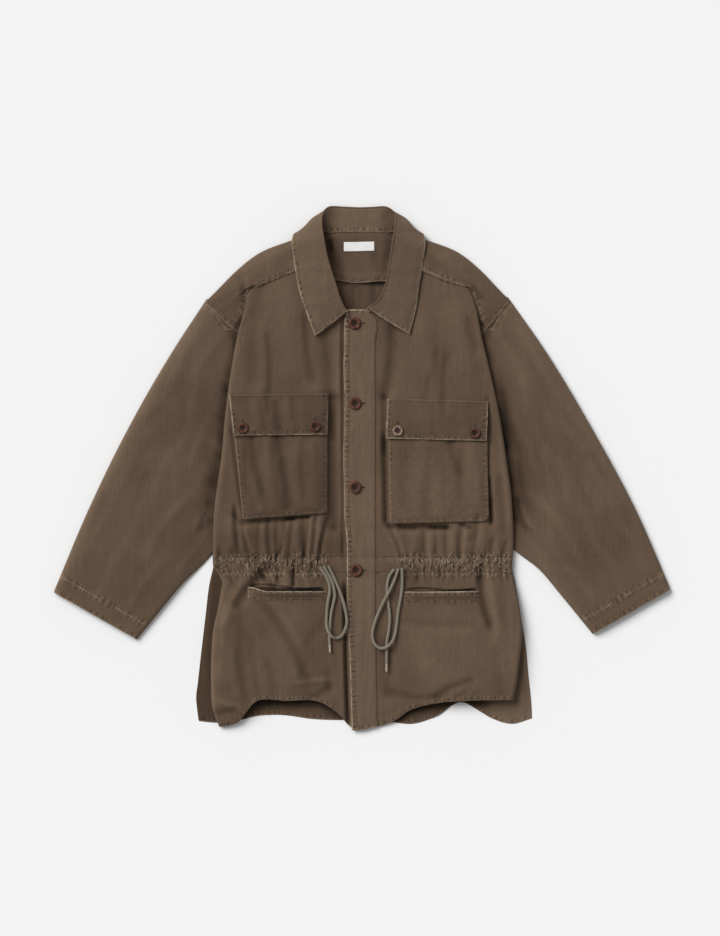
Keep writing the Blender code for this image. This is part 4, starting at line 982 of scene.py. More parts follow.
# fronts. open: end at the placket or neck; fold: the turned side edge; knee and seam: the part turned under
frontNames = "openX openY foldX foldY lip under kneeX kneeY kneeZ seamX seamY seamZ"
frontRight = rowsOf(
    frontNames,
    (-77, 337, -167, 299, 0.35, 10.6, -160, 296, 10.4, -156, 293, 10.3),
    (-75, 328, -181, 282, 0.6, 10.6, -170, 280, 9.9, -164, 278, 9.7),
    (-66, 312, -187, 260, 1, 9.4, -174, 258, 8.8, -166, 256, 8.6),
    (-52, 287, -194, 234, 1, 8.6, -180, 234, 8.2, -171, 234, 8),
    (-33, 259, -201, 206, 1, 7.8, -188, 206, 7.6, -176, 206, 7.4),
    (6, 237, -206, 178, 1, 7.6, -190, 178, 7.4, -178, 178, 7.2),
    (6, 206, -211, 148, 1, 7.4, -192, 148, 7.3, -178, 148, 7.2),
    (6, 158, -216, 112, 1, 7.4, -192, 112, 7.3, -176, 112, 7.2),
    (6, 110, -220, 76, 1, 7.4, -192, 76, 7.3, -172, 76, 7.2),
    (6, 62, -223, 38, 1, 7.4, -192, 38, 7.3, -170, 38, 7.2),
    (6, 14, -227, 4, 1, 7.4, -194, 4, 7.3, -168, 4, 7.2),
    (6, -30, -232, -30, 1, 7.4, -196, -28, 7.3, -172, -26, 6.4),
    (6, -66, -236.5, -66, 1, 7.4, -204, -66, 7, -188, -66, 2.2),
    (6, -98, -238, -98, 1, 7.4, -222, -98, 6.6, -206, -98, 2.2),
    (6, -122, -238.4, -122, 1, 7, -228, -122, 5.6, -216, -122, 2.2),
    (6, -141, -239, -141, 0.9, 4.4, -228, -141, 3.4, -220, -141, 2.2),
    (6, -149, -239, -149, 0.8, 3.6, -228, -149, 2.8, -220, -149, 2.2),
    (6, -156, -238, -156, 0.8, 3.4, -227, -156, 2.6, -219, -156, 2.2),
    (6, -163, -234, -163, 0.8, 3.4, -224, -163, 2.6, -216, -163, 2.2),
    (6, -170, -229, -170, 0.8, 3.4, -219, -170, 2.6, -211, -170, 2.2),
    (6, -182, -224, -182, 0.9, 3.4, -213, -182, 2.6, -205, -182, 2.2),
    (6, -197, -226, -197, 1, 3.6, -214, -197, 2.8, -204, -197, 2.2),
    (6, -226, -231, -226, 1, 4, -217, -226, 2.8, -206, -226, 2.2),
    (6, -262, -238, -258, 1, 4.2, -222, -258, 2.8, -210, -258, 2.2),
    (6, -302, -241, -298, 1, 4.4, -224, -298, 2.8, -210, -298, 2.2),
    (6, -345, -241.5, -342, 1, 4.2, -224, -342, 2.8, -210, -342, 2.2),
    (6, -384, -239, -384, 1, 3, -224, -384, 2.5, -212, -384, 2.2),
    (6, -413, -229, -413, 0.8, 2.4, -219, -411, 2.3, -212, -409, 2.2),
)
frontLeft = rowsOf(
    frontNames,
    (69, 337, 160, 299.5, 0.35, 10.6, 157, 295, 10.4, 153, 292, 10.3),
    (67, 328, 173, 282, 0.6, 10.6, 166, 279, 9.9, 160, 277, 9.7),
    (59, 312, 182, 259, 1, 9.4, 170, 257, 8.8, 162, 255, 8.6),
    (48, 287, 187.5, 234, 1, 8.6, 174, 234, 8.2, 165, 234, 8),
    (31, 259, 193, 206, 1, 7.8, 180, 206, 7.6, 168, 206, 7.4),
    (8, 237, 200, 178, 1, 7.6, 184, 178, 7.4, 172, 178, 7.2),
    (8, 206, 207, 148, 1, 7.4, 188, 148, 7.3, 174, 148, 7.2),
    (8, 158, 215, 112, 1, 7.4, 190, 112, 7.3, 174, 112, 7.2),
    (8, 110, 222, 76, 1, 7.4, 192, 76, 7.3, 172, 76, 7.2),
    (8, 62, 228, 38, 1, 7.4, 194, 38, 7.3, 170, 38, 7.2),
    (8, 14, 233, 4, 1, 7.4, 196, 4, 7.3, 168, 4, 7.2),
    (8, -30, 238, -30, 1, 7.4, 198, -28, 7.3, 174, -26, 6.4),
    (8, -66, 241, -66, 1, 7.4, 208, -66, 7, 192, -66, 2.2),
    (8, -98, 242.5, -98, 1, 7, 229, -98, 5.6, 214, -98, 2.2),
    (8, -122, 242.6, -122, 1, 5.6, 232, -122, 4.4, 222, -122, 2.2),
    (8, -141, 241.5, -141, 0.9, 4, 231, -141, 3.2, 223, -141, 2.2),
    (8, -149, 241, -149, 0.8, 3.6, 230, -149, 2.8, 222, -149, 2.2),
    (8, -156, 240.5, -156, 0.8, 3.4, 230, -156, 2.6, 222, -156, 2.2),
    (8, -163, 241, -163, 0.8, 3.4, 230, -163, 2.6, 222, -163, 2.2),
    (8, -170, 242, -170, 0.8, 3.4, 231, -170, 2.6, 223, -170, 2.2),
    (8, -182, 244, -182, 0.9, 3.4, 233, -182, 2.6, 224, -182, 2.2),
    (8, -197, 247.5, -197, 1, 3.6, 235, -197, 2.8, 225, -197, 2.2),
    (8, -226, 253, -226, 1, 4, 239, -226, 2.8, 228, -226, 2.2),
    (8, -262, 256.5, -258, 1, 4.2, 241, -258, 2.8, 229, -258, 2.2),
    (8, -302, 253, -296, 1, 4.4, 238, -296, 2.8, 226, -296, 2.2),
    (8, -345, 248.5, -334, 1, 4.4, 233, -334, 2.8, 221, -334, 2.2),
    (8, -386, 245, -356, 1, 4.2, 230, -356, 2.8, 219, -356, 2.2),
    (8, -414, 241.5, -370, 0.9, 4, 229, -370, 2.8, 219, -370, 2.2),
)
# the hem line of each front: it arches up between the side fold and the placket
hemRight = rowsOf(
    "x y",
    (-229, -414), (-214, -411.5), (-199, -406.7), (-186, -391), (-171, -373.5), (-120, -371.5), (-68, -373.5),
    (-38.4, -391.8), (-17, -414), (6, -417),
)
hemLeft = rowsOf(
    "x y",
    (8, -416), (24.6, -413.3), (50.4, -404.6), (78.2, -386.2), (112.5, -376.6), (161.6, -371.5), (204.8, -370.2),
    (241.6, -370.2),
)
frontSet = {
    "thick": 1.2,
    "lip": 6.0,
    "column": 2.1,
    "waistRow": 1.5,
    "row": 3.3,
    "hemFollow": (0.08, 0.32, 0.72, 1.0),
    "yokeDrop": (1.9, 1.0),
    "width": 233.0,
    "waist": (-214, -112),
    "endRow": 0.9,
    "endMm": 8,
    "hem": 14.0,
    "worn": 0.44,
    "turned": 18,  # columns of the grid that are turned under at the side
}
gatherSet = {
    "dark": 0.34,
    "count": 25,
    "from": 54.0,
    "to": 234.0,
    "deep": (1.2, 3.0),
    "half": (1.5, 2.7),
    "up": (5.0, 19.0),
    "down": (6.0, 20.0),
    "drift": 0.35,
    "rowHigh": -143.0,
    "rowLow": -167.5,
    "tucks": 320,
    "tuckMm": (4.5, 12.0),
    "tuckHigh": 1.15,
    "tuckHalf": (1.1, 2.1),
    "tuckRows": (0.52, 0.20, 0.28),
    "tuckLean": 0.55,
    "tuckLimit": (-3.4, 2.6),
    "fadeOut": 20,
    "rowDeep": 1.1,
    "rowFull": 0.7,
    "shade": 3.4,
    "zigMm": 7.6,
    "zigHigh": 1.7,
    "rowWorn": 0.20,
    "pinches": 250,
    "pinchMm": (5.0, 11.5),
    "pinchHalf": (0.75, 1.35),
    "pinchHigh": (1.0, 2.1),
    "pinchRows": (0.66, 0.29, 0.05),
    "pinchLean": 0.62,
    "pinchBow": 1.8,
    "pinchBand": (-196, -118),
    "cordExit": (70, -152),
}


def gatherHeight(place, y, seed):
    # place: mm from the opening along the front. Drawn-in valleys, and short tucks thrown every way along the cord
    s = gatherSet
    dice = np.random.default_rng(seed)
    middle = (s["rowHigh"] + s["rowLow"]) / 2
    half = (s["rowHigh"] - s["rowLow"]) / 2
    above = np.maximum(0, y - s["rowHigh"])
    below = np.maximum(0, s["rowLow"] - y)
    inside = np.clip(np.abs(y - middle) / half, 0, 1)
    total = np.zeros(np.broadcast(place, y).shape)
    place = place + 0 * y
    pitch = (s["to"] - s["from"]) / s["count"]
    for k in range(s["count"]):
        at = s["from"] + pitch * (k + 0.4 + dice.uniform(-0.38, 0.38))
        deep = dice.uniform(*s["deep"])
        wide = dice.uniform(*s["half"])
        up = dice.uniform(*s["up"])
        down = dice.uniform(*s["down"])
        driftUp, driftDown, lean = dice.uniform(-s["drift"], s["drift"], 3)
        off = place - at - (driftUp * above - driftDown * below + lean * 0.5 * (y - middle))
        reach = (0.75 + 0.25 * inside) * np.exp(-((above / up) ** 2) - (below / down) ** 2)
        valley = deep * bell(off, wide * (1 + (above + below) / s["fadeOut"]))
        total = total + reach * (0.4 * deep * bell(off, pitch * 0.5) - valley)
    band = np.nonzero((y[:, 0] < s["rowHigh"] + 22) & (y[:, 0] > s["rowLow"] - 20))[0]
    rows = slice(band[0], band[-1] + 1)
    px, py = place[rows], y[rows]
    small = np.zeros(px.shape)
    for k in range(s["tucks"]):
        tx = dice.uniform(s["from"] - 6, s["to"])
        ty = dice.choice([s["rowHigh"], s["rowLow"], middle], p=s["tuckRows"]) + dice.normal(0, 4.5)
        lean = dice.normal(0, s["tuckLean"])
        length = dice.uniform(*s["tuckMm"]) / 2
        wide = dice.uniform(*s["tuckHalf"])
        high = s["tuckHigh"] * dice.choice([1.0, -0.85]) * dice.uniform(0.5, 1.0)
        cx, cy = px - tx, py - ty
        along = cx * math.sin(lean) + cy * math.cos(lean)
        across = cx * math.cos(lean) - cy * math.sin(lean)
        small = small + high * np.exp(-((along / length) ** 2) - (across / wide) ** 2)
    total[rows] += np.clip(small, *s["tuckLimit"]) * (0.12 + 0.88 * strengthAt(px))
    high, low = gatherRows(place, seed)
    drawn = bell(y - high, 1.5) + bell(y - low, 1.5)
    full = bell(y - high - 3, 1.8) + bell(y - low + 3, 1.8)
    return total - s["rowDeep"] * drawn + s["rowFull"] * full * strengthAt(place)


def strengthAt(place):
    return softStep(place, gatherSet["from"] - 8, gatherSet["from"] + 6)


def gatherRows(place, seed):
    # the two rows of casing stitches, thrown into a zigzag by the gathers
    s = gatherSet
    lines = []
    for row, phase in ((s["rowHigh"], 0.3 + seed), (s["rowLow"], 1.9 + seed)):
        turn = place / s["zigMm"] + 0.45 * np.sin(place / 11.0 + phase)
        zig = 4 * np.abs(turn - np.floor(turn + 0.5)) - 1
        lines.append(row + strengthAt(place) * (s["zigHigh"] + 0.8 * np.sin(place / 17.0 + phase)) * zig)
    return lines


def bandEdges(x):
    # of each lower pocket band: its two ends, the share along it, and its upper edge there
    for corners in lowerBands.values():
        (x1, y1), (x2, y2) = corners[:2]
        share = np.clip((x - x1) / (x2 - x1), 0, 1)
        yield x1, x2, share, y1 + (y2 - y1) * share


mouthSet = {
    "dark": (1.5, 0.9),
    "wide": (1.3, 2.2),
    "reach": 14,
    "fall": 3.8,
    "fallWide": (5.2, 2.2),
    "fallReach": 9,
}


def mouthShade(x, y):
    # painted shade along the mouth of each lower pocket, where its inside shows
    s = mouthSet
    total = np.zeros(np.broadcast(x, y).shape)
    for x1, x2, share, edge in bandEdges(x):
        ends = softStep(x, x1 + 1, x1 + 7) * (1 - softStep(x, x2 - 7, x2 - 1))
        wide = s["wide"][0] + s["wide"][1] * softStep(share, 0.45, 0.8)
        dark = (s["dark"][0] + s["dark"][1] * softStep(share, 0.5, 0.75)) * ends
        total = total - dark * softStep(edge + wide - y, 0.0, 1.2) * (1 - softStep(edge - s["reach"] - y, 0.0, 3.0))
    return total


def bandMouth(x, y):
    # the front falls away behind the upper edge of each lower pocket band
    s = mouthSet
    total = np.zeros(np.broadcast(x, y).shape)
    for x1, x2, share, edge in bandEdges(x):
        ends = softStep(x, x1 + 1, x1 + 12) * (1 - softStep(x, x2 - 12, x2 - 1))
        wide = s["fallWide"][0] + s["fallWide"][1] * np.sin(share * 7.0)
        deep = softStep(edge + wide - y, 0.0, 3.0) * (1 - softStep(edge - s["fallReach"] - y, 0.0, 7.0))
        total = total - s["fall"] * deep * ends
    return total


# hollows in the front round the chest pockets, painted in shade as well
pocketHollows = rowsOf(
    creaseNames,
    (-208, 60, -190, -76, 1, 3, -2.2, 8), (-188, -86, -112, -80, 0, 4.2, -3.2, 6),
    (-118, -80, -86, -77, 0, 3, -4.2, 4), (-204, -74, -196, -84, 0, 5, -2, 5), (46, -92, 132, -93, 0, 4.6, -3.4, 8),
    (62, -96, 84, -96, 0, 4, -1.8, 6), (112, -95, 136, -95, 0, 4, -2.2, 6), (160, -90, 172, -94, 0, 4, -3.2, 5),
    (203, 40, 201, -20, 0, 2.6, -1.8, 8), (203, -20, 206, -84, 0, 4, -3.2, 8), (206, -52, 208, -82, 0, 4, -2.2, 6),
    (200, 112, 204, 56, 0, 3, -1.6, 5),
)


def frontPanel(name, table, hem, side, node, seed):
    s = frontSet
    rows = np.array(table, float)
    follow = np.zeros(len(rows))
    follow[-len(s["hemFollow"]):] = s["hemFollow"]
    drop = np.zeros(len(rows))
    drop[:2] = s["yokeDrop"]
    rows = np.column_stack([rows, follow, drop])
    knots = addUp((stepsOf(rows[:, 0:2]) + stepsOf(rows[:, 2:4])) / 2)
    fineAt = np.linspace(0, knots[-1], 4000)
    foldY = smoothCurve(rows, fineAt, knots)[:, 3]
    # rows lie closer at the waist and closest near both ends
    wanted = np.where((foldY < s["waist"][1]) & (foldY > s["waist"][0]), s["waistRow"], s["row"])
    wanted = np.where(np.minimum(fineAt, knots[-1] - fineAt) < s["endMm"], s["endRow"], wanted)
    run = addUp(np.diff(fineAt) / wanted[1:])
    at = np.interp(np.linspace(0, run[-1], int(run[-1]) + 1), run, fineAt)
    fine = smoothCurve(rows, at, knots)
    openX, openY, foldX, foldY, lip, under, kneeX, kneeY, kneeZ, seamX, seamY, seamZ, follow, drop = fine.T[:, :, None]
    shares = alongSteps(s["width"], s["column"], last=False)[None]
    turn = s["lip"] * lip
    foldIn = foldX - side * turn
    x = openX + (foldIn - openX) * shares
    y = openY + (foldY - openY) * shares
    straight = rows[-1, 1] + (rows[-1, 3] - rows[-1, 1]) * shares
    hemFine = smoothCurve(hem, np.linspace(0, 1, 400))
    y = y + follow * (np.interp(x, hemFine[:, 0], hemFine[:, 1]) - straight)
    place = shares * s["width"]
    gathers = gatherHeight(place, y, seed)
    z = clothHeight(x, y) + gathers + bandMouth(x, y) - drop * shares
    z = z + creaseHeight(x, y, pocketHollows)
    topAway = (at - at[0])[:, None]
    lowAway = (at[-1] - at)[:, None]
    z = z + edgeShape(lowAway, 0.8, 0.5, 0.45, s["hem"]) + puckers(place, lowAway, seed + 5, 9.0, 0.35, s["hem"], 6.0)
    z = np.maximum(z - 0.5 * bell(topAway, 1.2), 1.4)
    turns = np.linspace(math.pi / 2, -math.pi / 2, 11)[1:][None]
    lipX = foldX - side * turn * (1 - np.cos(turns))
    lipY = y[:, -1:] + 0 * turns
    lipZ = under + (z[:, -1:] - under) * (1 + np.sin(turns)) / 2
    # the part turned under runs from the lip over the knee to the side seam
    steps = np.linspace(0, 1, 5)[1:][None]
    moved = y[:, -1:] - foldY
    lipEnd = (foldIn, y[:, -1:], under)
    knee = (kneeX, kneeY + moved, kneeZ)
    sideSeam = (seamX, seamY + moved, seamZ)
    grid = np.stack([
        np.concatenate([outer, lip, a + (b - a) * steps, b + (c - b) * steps], axis=1)
        for outer, lip, a, b, c in zip((x, y, z), (lipX, lipY, lipZ), lipEnd, knee, sideSeam)
    ], axis=-1)
    shade = np.zeros(grid.shape[:2])
    # painted shade and light along the folds, painted shade in the hollows round the chest pockets, in the gathers'
    # valleys and along the pocket mouths
    soft = shadeOf(x, y, frontCreases) + shadeOf(x, y, pocketHollows, 6.0)
    soft = soft + np.clip(gathers / gatherSet["shade"], -1.0, 0.5)
    # painted shade over the drawn-in waist of the right front
    drawnWaistShade = gatherSet["dark"] * softStep(-y, 86, 112) * (1 - softStep(-y, 136, 152)) * (x < 0)
    shade[:, :x.shape[1]] = soft + mouthShade(x, y) - drawnWaistShade
    near, run = seamField(grid, "low")
    worn = np.full(near.shape, s["worn"])
    place = place + 0 * x
    rowAway = np.min([np.abs(y - row) for row in gatherRows(place, seed)], axis=0) + 0.3
    part = slice(0, x.shape[1])
    worn[:, part] = np.where(rowAway < near[:, part], 0.22 + gatherSet["rowWorn"] * strengthAt(place), worn[:, part])
    run[:, part] = np.where(rowAway < near[:, part], place, run[:, part])
    near[:, part] = np.minimum(near[:, part], rowAway)
    return clothPiece(name, grid, s["thick"], (node,), flip=side > 0, seam=gridOf(near, run, worn), shade=shade)


def pinchFolds(name, surface, side, seed):
    # small sharp folds thrown up along the drawn waist: curved, tapering, rubbed pale and painted lighter on top, with
    # painted shade at their feet
    s = gatherSet
    dice = np.random.default_rng(seed)
    share = np.linspace(0, 1, 8)
    section = ((-1.0, -0.7), (-0.55, 0.55), (0.0, 1.0), (0.55, 0.55), (1.0, -0.7))
    points, faces, looks = [], [], []
    flat = surface[1][:, :-frontSet["turned"]].reshape(-1, 3)
    flat = flat[(flat[:, 1] > s["pinchBand"][0]) & (flat[:, 1] < s["pinchBand"][1])]
    for k in range(s["pinches"]):
        px = side * dice.uniform(s["from"] + 3, s["to"] + 4)
        crowd = 0.5 + 0.5 * math.sin(px / 9.0 + seed) * math.sin(px / 23.0)
        if dice.uniform() > 0.45 + 0.55 * crowd:
            continue
        py = dice.choice([s["rowHigh"] - 4, s["rowHigh"] - 13, s["rowLow"] + 2], p=s["pinchRows"])
        py = py + dice.normal(0, 3.4)
        if abs(px) < s["cordExit"][0] and py < s["cordExit"][1]:
            continue
        lean = dice.normal(0, s["pinchLean"])
        length = dice.uniform(*s["pinchMm"])
        half = dice.uniform(*s["pinchHalf"])
        high = dice.uniform(*s["pinchHigh"])
        bow = dice.uniform(-s["pinchBow"], s["pinchBow"])
        alongX, alongY = math.sin(lean), math.cos(lean)
        t = share - 0.5
        mx = px + alongX * t * length + alongY * bow * (1 - 4 * t * t)
        my = py + alongY * t * length - alongX * bow * (1 - 4 * t * t)
        mz = levelOn(flat, mx, my, (0.25, 0.5, 0.25))
        if np.ptp(mz) > 5.0 or abs(mx).max() > abs(flat[:, 0]).max() - 1.5:
            continue
        taper = np.sin(math.pi * np.clip(share, 0.03, 0.97)) ** 0.6
        base = len(points) * 5 * len(share)
        ring = [
            gridOf(mx + alongY * off * half * taper, my - alongX * off * half * taper, mz + high * level * taper)
            for off, level in section
        ]
        points.append(np.stack(ring, axis=1).reshape(-1, 3))
        index = base + np.arange(5 * len(share)).reshape(-1, 5)
        faces.append(ringQuads(index)[:, [0, 3, 2, 1]])
        rub = dice.uniform(0.25, 1.0)
        # painted shade at the foot of each fold, rub and painted light on its top
        foot, flank = (2.6, px, 0.4, -1.7), (1.3, px, rub, 0.0)
        looks.append(np.tile((foot, flank, (0.5, px, rub, 0.9), flank, foot), (len(share), 1)))
    mesh = meshFrom(name, np.concatenate(points), [np.concatenate(faces)])
    linkPiece(name, mesh, twill, "twill")
    looks = np.concatenate(looks)
    setAttributes(mesh, looks[:, :3], looks[:, 3])
    mesh.uv_layers.new(name="clothMm")


rightFront = frontPanel("frontRight", frontRight, hemRight, -1, "front_right", 31)
leftFront = frontPanel("frontLeft", frontLeft, hemLeft, 1, "front_left", 47)
pinchFolds("pinchFoldsRight", rightFront, -1, 201)
pinchFolds("pinchFoldsLeft", leftFront, 1, 202)
cutSheet(rightFront, wider=1.12)
cutSheet(leftFront, wider=1.12)
print("fronts")


# backs: flat on the floor, their upper side a little uneven
backNames = "middleY sideX sideY"
backRight = rowsOf(
    backNames,
    (306, -221, 243), (268, -208.5, 222), (215, -199, 198), (160, -189, 150), (100, -180, 94), (45, -175, 38),
    (-10, -175, -14), (-55, -192, -58), (-98, -213, -98), (-135, -236, -134), (-157, -238, -157),
    (-182, -243.5, -181), (-240, -250.5, -236), (-295, -257, -291), (-350, -263, -345), (-380, -265.5, -368),
    (-403, -261.5, -404.5),
)
backLeft = rowsOf(
    backNames,
    (306, 209, 243), (268, 200.5, 222), (215, 192.5, 198), (160, 184.6, 150), (100, 175, 94), (45, 172, 38),
    (-10, 174.5, -14), (-55, 192, -58), (-95, 215, -93), (-128, 239, -126), (-157, 240, -157), (-182, 245, -181),
    (-245, 256.5, -248), (-290, 262.4, -287), (-335, 266.7, -334), (-377, 271, -376.6), (-404, 272, -400.3),
)
backHemRight = rowsOf(
    "x y",
    (-261.5, -404.5), (-236.8, -407), (-200, -404), (-166.9, -396.2), (-132.8, -394.6), (-76.8, -401.4),
    (-25.6, -403), (0, -403),
)
backHemLeft = rowsOf(
    "x y",
    (0, -404), (50, -406.7), (80, -409), (117, -398), (161.6, -374.7), (183, -385.4), (211, -401.4), (239, -409),
    (272, -400.3),
)
backSet = {
    "thick": 1.2,
    "width": 230.0,
    "hemFollow": (0.35, 1.0),
    "bend": 1.6,
    "step": 4.8,
    "strip": {-1: 0.85, 1: -0.70},
    "inside": 0.30,
    "underHem": 1.3,
}
backCreases = rowsOf(
    creaseNames,
    (-246, -250, -252, -330, 2, 3.5, 0.9, 16), (-228, -396, -190, -392, 2, 3, 1.2, 10),
    (-240, -180, -246, -236, -1, 3, 0.8, 12), (262, -300, 256, -372, 2, 4, 1, 14),
    (246, -250, 262, -330, -2, 4, 0.8, 16), (190, -386, 226, -398, 2, 4, 1.3, 10),
    (120, -398, 150, -384, -2, 3, 1.1, 8), (-10, 286, -8, 262, 1, 2.2, 0.9, 4), (10, 286, 13, 262, -1, 2.6, 0.7, 4),
    (-26, 284, -20, 268, 2, 3.2, 0.6, 5), (24, 284, 20, 268, -2, 3.4, 0.5, 5),
)
# painted shadow along the yoke's back edge and soft painted shade below it
backShade = rowsOf(
    creaseNames,
    (2, 297, 40, 298, 0, 3.2, -1.7, 3), (-36, 298, -6, 294, 0, 2.4, -0.8, 3), (-14, 290, -14, 262, 0, 5, -0.4, 6),
    (16, 290, 16, 262, 0, 6, -0.5, 6),
)


def backPanel(name, table, hem, side, node):
    s = backSet
    rows = np.array(table, float)
    follow = np.zeros(len(rows))
    follow[-2:] = s["hemFollow"]
    bend = np.ones(len(rows))
    bend[:2] = s["bend"]
    rows = np.column_stack([rows, follow, bend])
    knots = addUp(np.abs(np.diff(rows[:, 0])) / 2 + stepsOf(rows[:, 1:3]) / 2)
    edge = (0.0, 0.8, 1.6, 2.6, 4.0, 6.0)
    at = alongSteps(knots[-1], s["step"], edge) * knots[-1]
    middleY, sideX, sideY, follow, bend = smoothCurve(rows, at, knots).T[:, :, None]
    share = alongSteps(s["width"], s["step"], edge)[None]
    x = sideX * share
    y = middleY + (sideY - middleY) * share ** bend
    straight = rows[-1, 0] + (rows[-1, 2] - rows[-1, 0]) * share
    hemFine = smoothCurve(hem, np.linspace(0, 1, 300))
    y = y + follow * (np.interp(x, hemFine[:, 0], hemFine[:, 1]) - straight)
    z = s["thick"] + np.maximum(0, creaseHeight(x, y, backCreases))
    z = z - 0.45 * bell((at[-1] - at)[:, None], 0.9) - 0.45 * bell(s["width"] * share, 0.8)
    outside = softStep(side * x, 180, 215) * softStep(-y, 150, 175)
    below = np.interp(x, *zip(*[(row.x, row.y) for row in (*hemRight, *hemLeft)])) - y
    # darker over the backs, darkest on the right back's side strip and paler on the left's; painted shadow under the
    # raised front hems
    shade = -(s["strip"][side] * outside + s["inside"] * (1 - outside))
    shade = shade - s["underHem"] * bell(np.maximum(below, 0), 13) * (y < -300) * (1 - softStep(np.abs(x), 196, 216))
    shade = shade + creaseHeight(x, y, backShade)
    grid = gridOf(x, y, np.maximum(z, 0.7))
    return clothPiece(name, grid, s["thick"] - 0.25, (node,), "low", 0.42, flip=side > 0, shade=shade)


rightBack = backPanel("backRight", backRight, backHemRight, -1, "back_right")
leftBack = backPanel("backLeft", backLeft, backHemLeft, 1, "back_left")
cutSheet(rightBack)
cutSheet(leftBack)
print("backs")

# yoke: lines from the neck seam out to the armhole or the back seam
yokeNames = "neckX neckY neckZ midX midY midZ endX endY endZ kind"
yokeRight = rowsOf(
    yokeNames,
    (-77, 331, 13.6, -142, 304, 15.8, -209.6, 226.5, 8, "front"),
    (-79, 350, 13.8, -152, 318, 15.6, -231.5, 246.5, 8, "top"),
    (-77, 369, 12.6, -160, 337, 12.6, -248.5, 262.5, 7.6, "top"),
    (-74, 377, 7.6, -163, 346, 5.8, -252.8, 265.8, 4.2, "edge"),
    (-72, 373, 2.2, -160, 338, 0, -248.5, 262, 0, "arm"), (-62, 372, 2.2, -150, 318, 0, -237, 251, 0, "arm"),
    (-51, 375.5, 2.2, -128, 315, 0, -222.5, 236.5, 1.75, "back"),
    (-35, 377.6, 2.2, -88, 330, 0, -140, 281, 1.75, "back"), (-20, 378.2, 2.2, -45, 335, 0, -60, 303, 1.75, "back"),
    (-4, 378.6, 2.2, -4, 338, 0, -10, 297.6, 1.75, "back"),
)
yokeLeft = rowsOf(
    yokeNames,
    (12, 378.2, 2.2, 32, 335, 0, 44, 300, 1.75, "back"), (27, 377.6, 2.2, 74, 330, 0, 124, 281, 1.75, "back"),
    (41, 375.5, 2.2, 118, 315, 0, 210.5, 236.5, 1.75, "back"), (52, 372, 2.2, 138, 318, 0, 224, 252, 0, "arm"),
    (63, 373, 2.2, 148, 338, 0, 233.5, 264.5, 0, "arm"), (65, 377, 7.6, 152, 347.5, 5.8, 237.6, 268.8, 4.2, "edge"),
    (68, 369, 12.6, 148, 338, 12.6, 233.5, 265, 7.6, "top"), (70, 350, 13.8, 140, 319, 15.6, 219.5, 247.5, 8, "top"),
    (68, 331, 13.6, 136, 303, 15.8, 202, 226.5, 8, "front"),
)
yokeFrontRight = (
    (-77, 331, 13.7), (-107, 318, 14.9), (-140, 304.5, 15.6), (-168, 294, 15.3), (-183, 288, 12.2), (-189, 262, 9.4),
    (-209.6, 226.5, 8.0),
)
yokeFrontLeft = (
    (68, 331, 13.7), (96, 319, 14.9), (132, 303.5, 15.6), (164, 293, 15.3), (179, 287, 12.2), (184.5, 262, 9.4),
    (202.0, 226.5, 8.0),
)
yokeSet = {
    "thick": 1.2,
    "shares": (0.0, 0.22, 0.45, 0.68, 0.84, 0.93, 1.0),
    "backZ": (1.4, 2.2, 1.5, 0.2, 0.6, 2.9, 3.4),
    "neckTuck": 6.0,
    "armZ": (3.8, 3.2, 0.8, 0.0, 0.0, 0.0, 0.0),
    "columns": 62,
    "rows": 180,
    "corner": ((-208.0, 225.0, -189.0, 250.0), (201.0, 224.0, 184.0, 248.0)),
    "cornerDeep": 1.6,
    "cornerShade": 1.25,
    "tuckRight": ((0, -7, -4), (0, -7, -4), (0, -7, -4), (2, -7, -4), (7, -4, -1.6), (11, -3, -1.8), (13, -9, -1.6)),
    "tuckLeft": ((0, -7, -4), (0, -7, -4), (0, -7, -4), (-2, -7, -4), (-7, -4, -1.6), (-11, -3, -1.8), (-13, -9, -1.6)),
}
yokeCreases = rowsOf(
    creaseNames,
    (-190, 287, -186, 244, 3, 4, -1.2, 8), (-196, 300, -188, 282, 0, 5, -1, 8),
    (-120, 350, -150, 318, 4, 7, 0.7, 12), (-150, 338, -196, 296, -4, 8, 0.8, 14),
    (-100, 342, -112, 322, 2, 5, 0.6, 8), (180, 290, 184, 246, -3, 4, -1, 8), (110, 350, 142, 316, -4, 7, 0.7, 12),
    (140, 336, 186, 294, 4, 8, 0.8, 14), (92, 340, 104, 322, -2, 5, 0.6, 8), (-214, 262, -232, 250, 1, 5, 0.6, 8),
    (206, 262, 222, 252, -1, 5, 0.6, 8),
)
# shadows inside the neck
neckShade = rowsOf(
    creaseNames,
    (-57, 374, -45, 330, 0, 7, -0.8, 8), (-50, 366, -48, 352, 0, 4, -1, 4), (45, 374, 36, 322, 0, 7, -0.7, 10),
    (20, 342, 25, 312, 0, 8, -0.4, 8), (-38, 340, -34, 306, 0, 6, -0.5, 8),
)
yokeLines = {}


